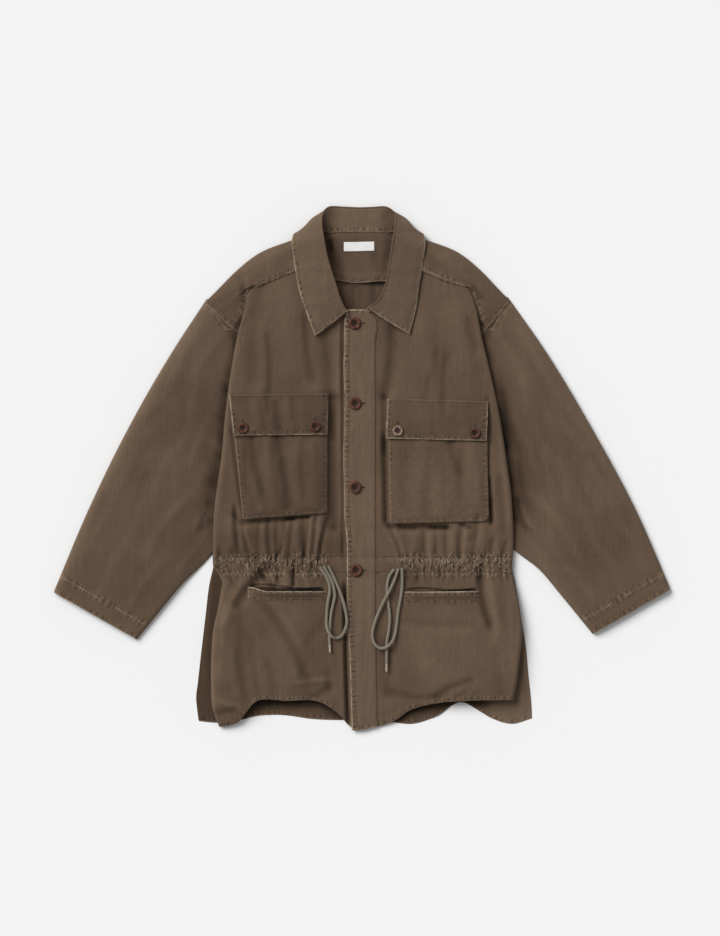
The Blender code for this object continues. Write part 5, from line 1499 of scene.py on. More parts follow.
def yokePiece():
    s = yokeSet
    lines = []
    for row in (*yokeRight, *yokeLeft):
        points = smoothCurve((row[0:3], row[3:6], row[6:9]), s["shares"])
        if row.kind == "back":
            points[:, 2] = s["backZ"]
        if row.kind == "arm":
            points[:, 2] = s["armZ"]
        if row.kind in ("arm", "back", "edge"):
            run = points[0] - points[1]
            points[0] += run / np.linalg.norm(run) * s["neckTuck"]
        lines.append(points)
    lines[0] = np.array(yokeFrontRight, float)
    lines[-1] = np.array(yokeFrontLeft, float)
    lines.insert(0, lines[0] + np.array(s["tuckRight"]))
    lines.append(lines[-1] + np.array(s["tuckLeft"]))
    lines = np.array(lines)
    across = alongSteps(170.0, 170.0 / s["columns"], (0.0, 0.8, 1.8, 3.2, 5.0, 7.0))
    wide = np.array([smoothCurve(line, across, s["shares"]) for line in lines])
    middle = wide[:, wide.shape[1] // 2]
    knots = runOf(middle)
    at = alongSteps(knots[-1], knots[-1] / s["rows"], (0.0, 0.8, 1.6, 2.6, 3.8, 5.2, 7.0)) * knots[-1]
    flat = smoothCurve(wide.reshape(len(lines), -1), at, knots)
    grid = flat.reshape(len(at), len(across), 3)
    x, y, z = grid[..., 0], grid[..., 1], grid[..., 2]
    topSide = softStep(z, 6.5, 10.0)
    z = z + topSide * (creaseHeight(x, y, yokeCreases) + 0.35 * ripple(x, y, 21, 40.0) + 0.15 * ripple(x, y, 22, 15.0))
    under = softStep(2.4 - z, 0.0, 1.0) * (np.abs(x) < 90)
    z = z + under * 0.35 * (1 + ripple(x, y, 23, 34.0)) * (1 - softStep(y, 366, 376))
    run, away = lengthsOf(grid)
    firstLine, lastLine = np.interp([knots[1], knots[-2]], at, np.arange(len(at)))
    columns = np.arange(len(across), dtype=float)
    fromFirst, fromLast = (
        away - pointAt(away[..., None], np.full(len(across), line), columns)[:, 0] for line in (firstLine, lastLine)
    )
    near = np.minimum(np.abs(fromFirst), np.abs(fromLast))
    z = z + topSide * (edgeShape(near) + puckers(run, near, 24))
    near = np.minimum(near, run[:, -1:] - run)
    back = softStep(2.2 - z, 0, 1.2) * (np.abs(x) < 60)
    seam = gridOf(near, np.where(run[:, -1:] - run < 9, away, run), 0.55 - 0.1 * back)
    corner = np.zeros(x.shape)
    for x1, y1, x2, y2 in s["corner"]:
        run = math.hypot(x2 - x1, y2 - y1)
        past = ((y2 - y1) * np.abs(x - x1) * np.sign(x1) * np.sign(x1 - x) - abs(x2 - x1) * (y - y1)) / run
        close = (np.sign(x) == np.sign(x1)) & (np.abs(x) > abs(x2) - 8) & (y < y2 + 6)
        corner = np.maximum(corner, softStep(past, -0.4, 1.6) * close)
    z = z - s["cornerDeep"] * corner * topSide
    grid = gridOf(x, y, np.maximum(z, 0.02))
    yokeLines.update(first=firstLine, last=lastLine)
    # tone of the yoke: painted shade and light along its folds, painted shadow inside the neck, painted shade in the
    # corner at each armhole
    shade = -0.12 + shadeOf(x, y, yokeCreases, 6.0) * topSide + 0.24 * back
    shade = shade + creaseHeight(x, y, neckShade) * (y > 300) * (np.abs(x) < 75)
    shade = shade - corner * softStep(z, 3.0, 4.5) * (s["cornerShade"] + 0.4 * ripple(x, y, 25, 9.0))
    return clothPiece("yokeCloth", grid, s["thick"], ("yoke",), flip=True, seam=seam, shade=shade)


yoke = yokePiece()
cutSheet(yoke)
print("yoke")

# sleeves: seamTop is the front of the armhole, seamUnder its back; outer and inner are the two long edges
sleeveRight = {
    "side": -1,
    "seamTop": (
        (-253.8, 264.4), (-233, 245.2), (-213.4, 221.4), (-194, 232), (-182, 200), (-178, 150), (-174, 90), (-171, 38),
        (-180, -19),
    ),
    "seamUnder": (
        (-253.8, 264.4), (-238.4, 250.0), (-223.6, 234.6), (-200.4, 200), (-190.8, 150), (-181.6, 94), (-176.6, 38),
        (-180, -19),
    ),
    "outer": ((-253.8, 264.4), (-302.4, 189.8), (-376, 61.8), (-438.4, -66.2), (-494, -198)),
    "inner": (
        (-180, -19), (-194.5, -58.5), (-215.8, -99), (-240.4, -136.6), (-290.7, -188.3), (-327.5, -233.3),
        (-360.5, -273.6),
    ),
    "creases": rowsOf(
        creaseNames,
        (-262, 222, -292, 168, 6, 9, 1, 20), (-240, 196, -268, 110, 8, 10, 1.3, 26),
        (-300, 150, -336, 96, -4, 9, 0.9, 22), (-232, 96, -268, 20, 7, 9, 1.2, 24),
        (-330, 70, -372, 8, 6, 10, 1, 26), (-252, 0, -296, -62, -6, 9, 1.2, 22),
        (-300, 30, -330, -40, 5, 9, 0.9, 22), (-376, -10, -408, -78, 5, 10, 0.9, 24),
        (-300, -70, -338, -128, 6, 9, 1.2, 22), (-240, -100, -288, -160, 4, 7, 1.2, 16),
        (-360, -70, -388, -140, -5, 9, 1, 22), (-424, -100, -452, -160, 4, 9, 0.9, 18),
        (-330, -160, -368, -214, 4, 8, 1.1, 16), (-400, -150, -420, -200, -3, 8, 0.8, 16),
        (-284, 100, -300, 40, -4, 8, -0.8, 22), (-246, -58, -258, -96, 2, 3, -2.2, 6),
        (-240, -84, -262, -98, 0, 2.8, -1.8, 6), (-252, -66, -268, -96, 2, 3.2, 1.6, 6),
        (-262, 60, -284, -6, 3, 6, -0.8, 18), (-344, -10, -362, -70, 3, 7, -0.8, 18),
    ),
}
sleeveLeft = {
    "side": 1,
    "seamTop": (
        (238.6, 267.6), (221, 246.4), (205.4, 221.6), (188, 232), (177, 200), (174, 150), (171, 90), (169, 38),
        (180, -19),
    ),
    "seamUnder": (
        (238.6, 267.6), (225.4, 251.0), (211.8, 234.6), (194, 200), (186.2, 150), (176.6, 94), (173.6, 38), (180, -19),
    ),
    "outer": ((238.6, 267.6), (292.8, 189.8), (369.6, 61.8), (438.4, -66.2), (494.2, -193.4)),
    "inner": (
        (180, -19), (194.5, -58.5), (217.8, -94), (243.2, -129), (282.1, -159.8), (318.7, -202.7), (369.6, -265),
    ),
    "creases": rowsOf(
        creaseNames,
        (252, 224, 284, 166, -6, 9, 1, 20), (232, 190, 262, 104, -8, 10, 1.3, 26),
        (296, 150, 330, 92, 4, 9, 0.9, 22), (238, 90, 272, 14, -7, 9, 1.2, 24), (326, 66, 366, 4, -6, 10, 1, 26),
        (258, -4, 300, -66, 6, 9, 1.2, 22), (304, 24, 332, -44, -5, 9, 0.9, 22),
        (378, -14, 410, -80, -5, 10, 0.9, 24), (304, -74, 342, -132, -6, 9, 1.2, 22),
        (250, -104, 296, -158, -4, 7, 1.2, 16), (362, -74, 392, -144, 5, 9, 1, 22),
        (426, -104, 452, -160, -4, 9, 0.9, 18), (334, -164, 370, -212, -4, 8, 1.1, 16),
        (402, -150, 424, -198, 3, 8, 0.8, 16), (286, 96, 302, 36, 4, 8, -0.8, 22),
        (250, -52, 262, -96, 2, 3, -2.6, 6), (245, -82, 272, -98, 0, 3, -2.2, 6),
        (258, -62, 276, -98, 2, 3.4, 1.8, 6), (243, 66, 250, 34, 2, 5, -1.6, 8), (252, 18, 258, -34, 2, 5, -1.8, 8),
        (266, 56, 288, -10, -3, 6, -0.8, 18), (346, -14, 364, -74, -3, 7, -0.8, 18),
    ),
}
sleeveRing = (
    (0, 0.45), (0.012, 0.74), (0.05, 0.95), (0.11, 1), (0.19, 1), (0.31, 1), (0.5, 1), (0.68, 1), (0.82, 1),
    (0.91, 0.97), (0.975, 0.8), (1, 0.45), (0.975, 0.1), (0.9, 0), (0.72, 0), (0.45, 0), (0.2, 0), (0.05, 0),
    (0.012, 0.16), (0, 0.45),
)
bodyEdge = rowsOf(
    "y right left",
    (-300, -239, 243), (-122, -239, 243), (-63, -236, 241), (10, -226, 232), (84, -220, 220), (158, -210, 204),
    (204, -201, 194), (226, -212, 203), (265, -253, 238),
)
sleeveSet = {
    "thick": 1.2,
    "rows": 165,
    "around": 106,
    "pressedOut": 70.0,
    "entry": ((0, 8.0), (0.17, 8.0), (0.24, 6.7), (0.7, 6.7), (1.0, 5.0)),
    "full": ((0, 9.0), (0.25, 13.6), (0.55, 14.5), (1.0, 10.8)),
    "seamReach": 0.34,
    "cuffHem": 28.0,
    "length": 545.0,
    "wide": 150,
    "high": 14,
    "worn": (0.35, 0.8),
    "cuffRows": (
        0.0, 0.7, 1.5, 2.6, 4.2, 6.5, 9.5, 13, 17, 20.5, 23, 24.6, 25.8, 26.9, 28, 29.1, 30.4, 32.2, 35,
    ),
    "darkY": (-130, -100, -50, 0, 60, 120, 170, 200, 222, 238),
    "dark": {
        -1: (0.0, 0.7, 0.95, 0.95, 1.0, 1.35, 1.2, 1.2, 1.1, 0.0),
        1: (0.0, 0.7, 1.1, 1.2, 1.3, 1.4, 1.2, 1.1, 1.0, 0.0),
    },
    "darkWide": {-1: (10, 18, 26, 26, 22, 14, 9, 8, 7, 6), 1: (12, 20, 32, 32, 25, 18, 12, 9, 7, 6)},
    "tuck": (9.0, 2.6),
}


def sleevePiece(name, shape, node, seed):
    s = sleeveSet
    side = shape["side"]
    length = s["length"]
    shares = alongSteps(length, length / s["rows"], (0.0, 0.8, 1.6, 2.6, 3.8, 5.2, 7.0))
    cuff = 1 - np.array(s["cuffRows"]) / length
    shares = np.unique(np.round(np.concatenate([shares[shares < 1 - 37 / length], cuff]), 6))
    ring = np.array(sleeveRing)
    ringKnots = addUp(np.hypot(np.diff(ring[:, 0]) * s["wide"], np.diff(ring[:, 1]) * s["high"]))
    around = np.linspace(0, ringKnots[-1], s["around"], endpoint=False)
    edges = smoothCurve(ring, around, ringKnots)
    across = np.clip(edges[:, 0], 0, 1)[None]
    level = np.where(edges[:, 1] > 0.97, 1.0, np.clip(edges[:, 1], 0, 1.0))[None]
    above = (around < ringKnots[11])[None]
    outer = smoothCurve(shape["outer"], shares)[:, None]
    inner = smoothCurve(shape["inner"], shares)[:, None]
    seamTop = smoothCurve(shape["seamTop"], across[0])
    seamUnder = smoothCurve(shape["seamUnder"], across[0])
    seam = np.where(above[0][:, None], seamTop, seamUnder)[None]
    line = outer * (1 - across[..., None]) + inner * across[..., None]
    first = line[0]
    fade = np.maximum(0.0, 1 - shares / s["seamReach"])[:, None, None] ** 2
    plan = line + (seam - first) * fade
    # the head of the sleeve runs on a little under the yoke
    under = np.maximum(0, 1 - shares * length / s["tuck"][0])[:, None] * (above & (ring[:1, 0] < 1) & (across < 0.30))
    plan = plan + under[..., None] * s["tuck"][0] * np.array([-side * 0.56, 0.83])
    x, y = plan[..., 0], plan[..., 1]
    levels = [row.y for row in bodyEdge]
    edge = np.interp(y, levels, [(row.left if side > 0 else row.right) for row in bodyEdge])
    free = softStep(side * (x - edge) - 4, 0, s["pressedOut"])
    full = np.interp(shares, *zip(*s["full"]))[:, None]
    entry = np.interp(across, *zip(*s["entry"]))
    top = entry + (full - entry) * free
    awaySeam = (shares * length)[:, None]
    awayCuff = ((1 - shares) * length)[:, None]
    detail = creaseHeight(x, y, shape["creases"]) + 0.40 * ripple(x, y, seed, 70.0)
    detail = detail + 0.08 * ripple(x, y, seed + 1, 22.0, 14)
    hem = edgeShape(awayCuff, 0.5, 0.35, 0.4, s["cuffHem"]) - 0.3 * bell(awayCuff - s["cuffHem"] + 3.2, 0.9)
    hem = hem + puckers(across * s["wide"], awayCuff, seed + 2, 8.0, 0.34, s["cuffHem"] - 1.5, 6.0)
    seamShape = puckers(across * 260, awaySeam, seed + 3, 7.0, 0.4, 5.0, 7.0)
    upper = softStep(level, 0.75, 1.0) * above
    z = top * level + upper * (detail * (0.35 + 0.65 * free) + hem + seamShape * (0.3 + 0.7 * free))
    z = z - under * s["tuck"][1]
    grid = gridOf(x, y, np.maximum(z, 0.0))
    v = lengthsOf(grid)[1]
    near = np.minimum(np.where(across < 0.28, np.abs(v - s["tuck"][0]), farMm), v[-1:] - v)
    near = np.minimum(near, np.abs(v[-1:] - v - s["cuffHem"]) + 0.9)
    worn = np.where(shares[:, None] < 0.5, *s["worn"]) + 0 * near
    seam = gridOf(near, across * s["wide"] + 0 * near, worn)
    # the body's edge throws its shadow on the sleeve
    dark = np.interp(y, s["darkY"], s["dark"][side]) * (1 + 0.30 * ripple(x, y, seed + 4, 34.0))
    dark = dark * bell(np.maximum(side * (x - edge), 0), np.interp(y, s["darkY"], s["darkWide"][side]))
    shade = -dark + shadeOf(x, y, shape["creases"], 14.0)
    return clothPiece(name, grid, s["thick"], (node,), tube=True, flip=side < 0, seam=seam, shade=shade)


rightSleeve = sleevePiece("sleeveRight", sleeveRight, "sleeve_right", 61)
leftSleeve = sleevePiece("sleeveLeft", sleeveLeft, "sleeve_left", 71)
cutSheet(rightSleeve, tube=True)
cutSheet(leftSleeve, tube=True)
print("sleeves")

# collar: the stand rises from the neck seam, the leaf turns over it
collarStations = rowsOf(
    "seamX seamY seamZ rollX rollY rollZ midX midY midZ edgeX edgeY edgeZ",
    (-20, 241, 15.2, -24, 252, 19.6, -48, 232, 19.5, -75.5, 212.2, 17.2),
    (-36, 264, 15.2, -32, 268, 22, -60, 257, 20.8, -88, 247, 17.6),
    (-52, 290, 15.4, -43, 302, 23.8, -72, 297, 21.2, -101.5, 288, 17.8),
    (-66, 318, 15.6, -54, 337, 24.4, -82, 334, 21.6, -108.5, 329, 17.8),
    (-76, 347, 15.8, -60.5, 372, 24.4, -86, 371, 20.6, -112.5, 366, 16.6),
    (-75, 367, 14, -63.5, 393, 21.4, -84, 394, 14, -108, 377, 6),
    (-66, 379.5, 6.6, -61.5, 410, 14, -80, 401.5, 3.6, -89, 360, 0),
    (-51, 378.6, 2.4, -54, 419, 9.6, -57, 411, 0.4, -72, 359, 0),
    (-27, 379.4, 2.4, -28, 419.6, 7.4, -29, 413.5, 0, -35, 356, 0),
    (-4, 379.8, 2.4, -4, 418.6, 7.2, -4, 412.5, 0, -4, 355, 0),
    (20, 379.4, 2.4, 16, 419.2, 7.4, 17, 413, 0, 24, 356, 0),
    (40, 378.6, 2.4, 40, 419.2, 9.6, 44, 411, 0.4, 60, 359, 0),
    (56, 379.5, 6.6, 51.5, 410, 14, 70, 401.5, 3.6, 79, 360, 0),
    (65, 367, 14, 53, 393, 21.4, 74, 394, 14, 97.5, 377, 6),
    (66, 347, 15.8, 49.5, 372, 24.4, 76, 371, 20.6, 101, 366, 16.6),
    (58, 318, 15.6, 44.5, 338, 24.4, 72, 336, 21.6, 97.5, 330, 17.8),
    (46, 290, 15.4, 39, 303, 23.8, 64, 297, 21.2, 91, 290, 17.8),
    (30, 264, 15.2, 26, 271, 22, 55, 258, 20.8, 86, 253, 17.6),
    (11, 250, 15.2, 8, 257, 19.6, 42, 235, 19.5, 75.8, 215, 17.2),
)
collarSet = {
    "thick": 1.6,
    "station": 12.0,
    "length": 620.0,
    "rows": 190,
    "leafWidth": 58.0,
    "leafColumns": 36,
    "standColumns": 24,
    "below": 0.16,
    "under": 3.2,
    "lip": 1.5,
    "leafTone": 0.36,
}
collarCreases = rowsOf(
    creaseNames,
    (-60, 372, -112, 352, 4, 9, 0.8, 14), (-46, 318, -84, 322, 3, 6, 0.6, 10), (-40, 280, -74, 268, -3, 6, 0.6, 10),
    (52, 372, 96, 356, -4, 9, 0.8, 14), (42, 318, 80, 320, -3, 6, 0.6, 10), (34, 280, 68, 268, 3, 6, 0.6, 10),
    (-70, 240, -82, 262, 2, 7, 0.6, 10), (70, 244, 80, 268, -2, 7, 0.6, 10),
)


def collarPieces():
    s = collarSet
    table = np.array(collarStations, float)
    steps = np.arange(len(table)) * s["station"]
    along = alongSteps(s["length"], s["length"] / s["rows"], (0.0, 0.8, 1.6, 2.6, 3.8, 5.0, 6.4))
    lines = [smoothCurve(np.column_stack([steps, table[:, k:k + 3]]), along)[:, 1:] for k in (0, 3, 6, 9)]
    atEdge = (0.0, 0.7, 1.4, 2.2, 3.1, 4.1, 5.0, 5.9, 7.2)
    shares = alongSteps(s["leafWidth"], s["leafWidth"] / s["leafColumns"], atEdge, first=False)
    up = np.array([0, 0, 1.0])
    leaf, stand = [], []
    for seam, roll, mid, edge in zip(*lines):
        section = smoothCurve((roll, mid, edge), shares)
        section[:, 2] = np.maximum(section[:, 2], 0.0)
        inward = seam - roll
        inward[2] = 0.0
        inward /= max(np.linalg.norm(inward), 1e-6)
        back = float(softStep(roll[1], 396, 414))
        top = roll + (seam - roll) * s["below"] * (1 - 0.5 * back) - up * (s["under"] * (1 - back) + 0.25 * back)
        turns = np.linspace(math.pi / 2, 0, 5)[:-1]
        lip = [roll + inward * s["lip"] * math.sin(t) - up * s["lip"] * (1 - math.cos(t)) for t in turns]
        leaf.append(np.concatenate([lip, section]))
        rise = np.linspace(0, 1, s["standColumns"])
        stand.append(seam + (top - seam) * rise[:, None])
    leaf = np.array(leaf)
    x, y, z = leaf[..., 0], leaf[..., 1], leaf[..., 2]
    run, away = lengthsOf(leaf)
    free = softStep(z, 9.0, 15.0)
    z = z + free * (creaseHeight(x, y, collarCreases) + 0.3 * ripple(x, y, 81, 40.0) + 0.12 * ripple(x, y, 82, 13.0))
    nearEdge = np.minimum(run[:, -1:] - run, np.minimum(away, away[-1:] - away))
    sewn = edgeShape(nearEdge, 0.5, 0.30, 0.42, 6.0) + puckers(away, nearEdge, 83, 6.5, 0.26, 6.0, 4.0)
    z = z + softStep(z, 3.0, 8.0) * sewn
    leafPiece = clothPiece(
        "collarLeaf", gridOf(x, y, np.maximum(z, 0.0)), s["thick"], ("collar_leaf",), "right top low", 1.0, flip=True,
        shade=s["leafTone"],
    )
    stand = np.array(stand)
    run = lengthsOf(stand)[0]
    x, y, z = stand[..., 0], stand[..., 1], stand[..., 2]
    z = z + 0.25 * ripple(x, y, 84, 30.0) * softStep(run, 2, 8) * softStep(run[:, -1:] - run, 2, 6)
    # painted light over the middle of the stand, which faces down, and painted shadow towards its sides
    standPiece = clothPiece(
        "collarStand", gridOf(x, y, z), s["thick"], ("collar_stand",), "left top low", 0.5,
        shade=0.9 - 1.3 * softStep(np.abs(x + 5), 26, 50),
    )
    return leafPiece, standPiece


collarLeaf, collarStand = collarPieces()
cutSheet(collarLeaf)
cutSheet(collarStand)
print("collar")

# placket
placketRows = rowsOf(
    "y left right",
    (254.5, -25.5, 11), (245, -27, 19.5), (200, -28, 22), (158, -29.6, 22), (116, -27.6, 22), (70, -28.6, 22),
    (25, -29.8, 22), (-30, -28.6, 22), (-87, -27.4, 22), (-112, -24.4, 22), (-128, -24, 22), (-142, -24, 22),
    (-156, -24, 22), (-170, -24, 22), (-182, -24, 22), (-197, -24, 22), (-226, -23.4, 22), (-262, -22, 22.6),
    (-302, -19.6, 23), (-345, -18.4, 23.6), (-384, -17.2, 24.4), (-404, -16.6, 25), (-419.5, -16, 25.4),
)
placketSet = {"thick": 1.6, "width": 48.0, "rise": 2.4, "tone": 0.48, "puckerLightAndShade": 1.5, "row": 1.4, "column": 2.6}


def placketPiece():
    s = placketSet
    table = np.array(placketRows, float)
    knots = table[0, 0] - table[:, 0]
    at = alongSteps(knots[-1], s["row"]) * knots[-1]
    y, left, right = smoothCurve(table, at, knots).T[:, :, None]
    share = alongSteps(s["width"], s["column"])[None]
    x = left + (right - left) * share
    y = y + 6.0 * softStep(-y, 386, 419) * softStep(share, 0.25, 1.0) + 0 * x
    awayLeft = x - left
    awayRight = right - x
    awayEnd = np.minimum(at[-1] - at, at)[:, None]
    z = clothHeight(x, y) + s["rise"]
    run = at[:, None]
    drawnIn = puckers(run, awayLeft, 91, 8.0, 1.0, 4.8, 3.4)
    z = z + edgeShape(awayLeft, 0.5, 0.45, 0.5, 8.0) + drawnIn
    z = z + edgeShape(awayRight, 0.4, 0.2, 0.3, 4.0) + puckers(run, awayRight, 92, 6.5, 0.22, 3.0, 3.0)
    z = z - 0.4 * bell(awayEnd, 0.9) - 1.5 * bell(awayRight, 2.4)
    z = z + 0.18 * ripple(x, y * 0.5, 93, 15.0) * softStep(awayLeft, 2, 9) * softStep(awayRight, 3, 8)
    # lighter over the whole band, and painted light and shade across the puckers along its left edge
    return clothPiece(
        "placketBand", gridOf(x, y, z), s["thick"], ("placket",), "left top low", 1.0, flip=True,
        shade=s["tone"] + s["puckerLightAndShade"] * drawnIn, crestMm=2.0,
    )


placket = placketPiece()
cutSheet(placket)
print("placket")

# pockets, flaps and bands
pocketSet = {
    "thick": 3.3,
    "edge": 4.2,
    "bulge": 1.6,
    "corner": {"chestPocketRight": 4.0, "chestPocketLeft": 11.0},
    "across": (0.0, 0.05, 0.28, 0.5, 0.72, 0.95, 1.0),
    "down": (0.0, 0.2, 0.42, 0.64, 0.84, 0.955, 1.0),
    "riseAcross": (0.0, 0.5, 1.0, 1.0, 1.0, 0.5, 0.0),
    "riseDown": (0.2, 0.5, 0.8, 1.0, 1.0, 0.7, 0.0),
    "step": 2.2,
    "tone": {"chestPocketRight": -0.34, "chestPocketLeft": -0.14},
}
pocketCreases = rowsOf(
    creaseNames,
    (-138, 58, -118, -72, -4, 7.5, -2.6, 9), (-176, 46, -160, -36, 3, 6.5, -1.9, 12),
    (-186, 46, -189, -30, 0, 6, -1, 14), (-152, 40, -144, -50, 2, 9, 2.2, 18), (-104, 30, -98, -50, 2, 11, 1.5, 18),
    (-98, 20, -94, -40, 0, 6, -1.2, 14), (-170, -20, -160, -72, 0, 8, 1.8, 14),
    (-112, -58, -104, -78, 0, 5, -0.8, 6), (-80, 30, -78, -50, 0, 9, 1.2, 16), (142, 44, 155, -4, 2, 8, -2.4, 12),
    (158, 20, 158, -36, 0, 8, -1.4, 12), (96, 40, 92, -40, 3, 16, 1.6, 22), (70, 20, 66, -50, 0, 9, -1.2, 14),
    (176, 30, 182, -50, -2, 10, 1.4, 16), (120, -20, 124, -76, 0, 10, 1.4, 14), (100, -40, 104, -84, 0, 7, -1, 10),
)


def patchGrid(corners, step, *downEdge):
    # a patch between its corners: shares across and down it, its plan, and mm to its sides, lower and upper edge
    topLeft, topRight, lowLeft, lowRight = (np.array(point, float) for point in corners)
    wide = math.dist(topLeft, topRight)
    tall = math.dist(topLeft, lowLeft)
    across = alongSteps(wide, step)
    down = alongSteps(tall, step, *downEdge)
    start = topLeft + (lowLeft - topLeft) * down[:, None]
    end = topRight + (lowRight - topRight) * down[:, None]
    plan = start[:, None] + (end - start)[:, None] * across[None, :, None]
    full = np.ones(plan.shape[:2])
    awaySide = np.minimum(across, 1 - across) * wide * full
    awayLow, awayTop = ((way * tall)[:, None] * full for way in (1 - down, down))
    return across, down, plan[..., 0], plan[..., 1], awaySide, awayLow, awayTop


def roundCorners(x, y, corners, radius):
    # draws the two lower corners of a patch in to an arc
    corners = np.array(corners, float)
    for corner, beside, above in ((2, 3, 0), (3, 2, 1)):
        tip = corners[corner]
        in1 = corners[beside] - tip
        in2 = corners[above] - tip
        in1 /= np.linalg.norm(in1)
        in2 /= np.linalg.norm(in2)
        a = (x - tip[0]) * in1[0] + (y - tip[1]) * in1[1]
        b = (x - tip[0]) * in2[0] + (y - tip[1]) * in2[1]
        ca, cb = np.clip(1 - a / radius, 0, 1), np.clip(1 - b / radius, 0, 1)
        far = np.maximum(np.maximum(ca, cb), 1e-9)
        pull = far / np.maximum(np.hypot(ca, cb), 1e-9)
        inside = (a < radius) & (b < radius)
        na = radius * (1 - ca * pull)
        nb = radius * (1 - cb * pull)
        x = np.where(inside, tip[0] + in1[0] * na + in2[0] * nb, x)
        y = np.where(inside, tip[1] + in1[1] * na + in2[1] * nb, y)
    return x, y


def chestPocket(name, node, seed):
    s = pocketSet
    corners = chestPockets[node]
    across, down, x, y, awaySide, awayLow, awayTop = patchGrid(corners, s["step"])
    x, y = roundCorners(x, y, corners, s["corner"][name])
    side = curveThrough(s["riseAcross"], across, s["across"])[None]
    full = curveThrough(s["riseDown"], down, s["down"])[:, None]
    near = np.minimum(awaySide, awayLow)
    bend = 1.0 + 0.10 * ripple(x, y, seed, 46.0)
    z = clothHeight(x, y) + s["edge"] + s["bulge"] * np.maximum(0, full * side) * bend
    inner = softStep(near, 4.0, 14.0)
    z = z + inner * (creaseHeight(x, y, pocketCreases) + 0.18 * ripple(x, y, seed + 1, 17.0))
    run = np.where(awaySide < awayLow, y, x)
    z = z + edgeShape(near, 0.55, 0.30, 0.38, 5.0) + puckers(run, near, seed + 2, 7.0, 0.34, 4.0, 4.5)
    shade = shadeOf(x, y, pocketCreases, 10.0) * inner + s["tone"][name]
    return clothPiece(name, gridOf(x, y, z), s["thick"], (node,), "left right low", 0.34, flip=True, shade=shade)


rightPocket = chestPocket("chestPocketRight", "chest_pocket_right", 101)
leftPocket = chestPocket("chestPocketLeft", "chest_pocket_left", 111)
cutSheet(rightPocket)
cutSheet(leftPocket)

flapSet = {
    "thick": 1.6,
    "down": (0.0, 0.1, 0.35, 0.7, 1.0),
    "rise": (2.4, 3.6, 7.6, 9.2, 9.6),
    "step": 2.0,
    "tone": {"chestFlapRight": -0.52, "chestFlapLeft": -0.40},
}
flapCreases = rowsOf(
    creaseNames,
    (-139, 104, -132, 54, 0, 6.5, -1.7, 5), (-152, 116, -150, 92, 0, 5, -1.2, 7),
    (-172, 104, -170, 60, 0, 8, 1.2, 8), (-118, 110, -114, 62, 1, 9, 1.5, 8), (-96, 100, -94, 64, 0, 8, 1, 8),
    (-160, 90, -154, 60, 0, 5, -0.8, 6), (-112, 112, -110, 84, 0, 4, -0.8, 8), (-190, 84, -176, 58, 0, 5, 0.9, 8),
    (130, 108, 129, 88, 0, 6, -1.2, 7), (92, 108, 96, 60, 0, 9, 0.8, 10), (160, 106, 164, 60, 0, 8, 0.8, 10),
    (112, 100, 114, 56, 0, 4, -0.6, 8),
)


def chestFlap(name, node, seed):
    s = flapSet
    across, down, x, y, awaySide, awayLow, awayTop = patchGrid(chestFlaps[node], s["step"])
    rise = curveThrough(s["rise"], down, s["down"])[:, None]
    near = np.minimum(awaySide, awayLow)
    z = clothHeight(x, y) + rise + creaseHeight(x, y, flapCreases) * softStep(near, 3, 10)
    run = np.where(awaySide < awayLow, y, x)
    z = z + edgeShape(near, 0.45, 0.28, 0.36, 5.5) + puckers(run, near, seed, 7.0, 0.28, 4.5, 4.0)
    z = z + edgeShape(awayTop, 0.35, 0.25, 0.4, 5.0) + puckers(x, awayTop, seed + 1, 7.5, 0.36, 5.0, 5.0)
    z = z - 0.9 * np.exp(-((awaySide / 5) ** 2 + (awayLow / 5) ** 2))
    shade = s["tone"][name] + shadeOf(x, y, flapCreases, 10.0)
    run = np.where(awaySide < np.minimum(awayLow, awayTop), y, x)
    seam = gridOf(np.minimum(near, awayTop), run, np.where(awayTop < near, 0.12, 0.9))
    return clothPiece(name, gridOf(x, y, z), s["thick"], (node,), flip=True, seam=seam, shade=shade)


rightFlap = chestFlap("chestFlapRight", "chest_flap_right", 121)
leftFlap = chestFlap("chestFlapLeft", "chest_flap_left", 131)
cutSheet(rightFlap)
cutSheet(leftFlap)

bandSet = {
    "thick": 1.2,
    "open": (1.0, 0.9, 0.3, 0.0),
    "down": (0.0, 0.25, 0.6, 1.0),
    "edge": 1.25,
    "gape": 6.4,
    "ends": 2.2,
    "step": 1.6,
    "edges": (0.0, 0.6, 1.3, 2.1, 3.0, 4.2, 5.6),
    "bend": {"pocketBandRight": 5.0, "pocketBandLeft": 0.8},
}


def lowerBand(name, node, seed):
    s = bandSet
    left = lowerBands[node][0][0]
    across, down, x, y, awaySide, awayLow, awayTop = patchGrid(lowerBands[node], s["step"], s["edges"])
    bow = s["bend"][name] * softStep(x, left + 6, left + 30) * (1 - 0.6 * softStep(x, -150, -60))
    y = y - bow * (1 - down[:, None])
    gape = curveThrough(s["open"], down, s["down"])[:, None]
    stand = np.minimum(1.0, np.sin(math.pi * across) * s["ends"])[None]
    stand = softStep(stand, 0, 1.0) * 0.35 + stand * 0.65
    z = clothHeight(x, y) + s["edge"] + s["gape"] * np.maximum(gape, 0) * stand * (1 + 0.05 * ripple(x, y, seed, 30.0))
    z = z + edgeShape(awayTop, 0.4, 0.25, 0.30, 4.0) + puckers(x, awayTop, seed + 1, 7.0, 0.2, 4.0, 3.0)
    z = z + edgeShape(awayLow, 0.4, 0.2, 0.35, 3.0) + puckers(x, awayLow, seed + 2, 6.5, 0.3, 4.0, 4.0)
    z = z - 0.9 * bell(awaySide, 2.6) - 0.8 * bell(awayLow, 2.6)
    near = np.minimum(np.minimum(awayTop, awayLow), awaySide)
    seam = gridOf(near, np.where(awaySide <= near, y, x), 0.45 + 0.55 * bell(awayTop, 4))
    return clothPiece(name, gridOf(x, y, z), s["thick"], (node,), flip=True, seam=seam)


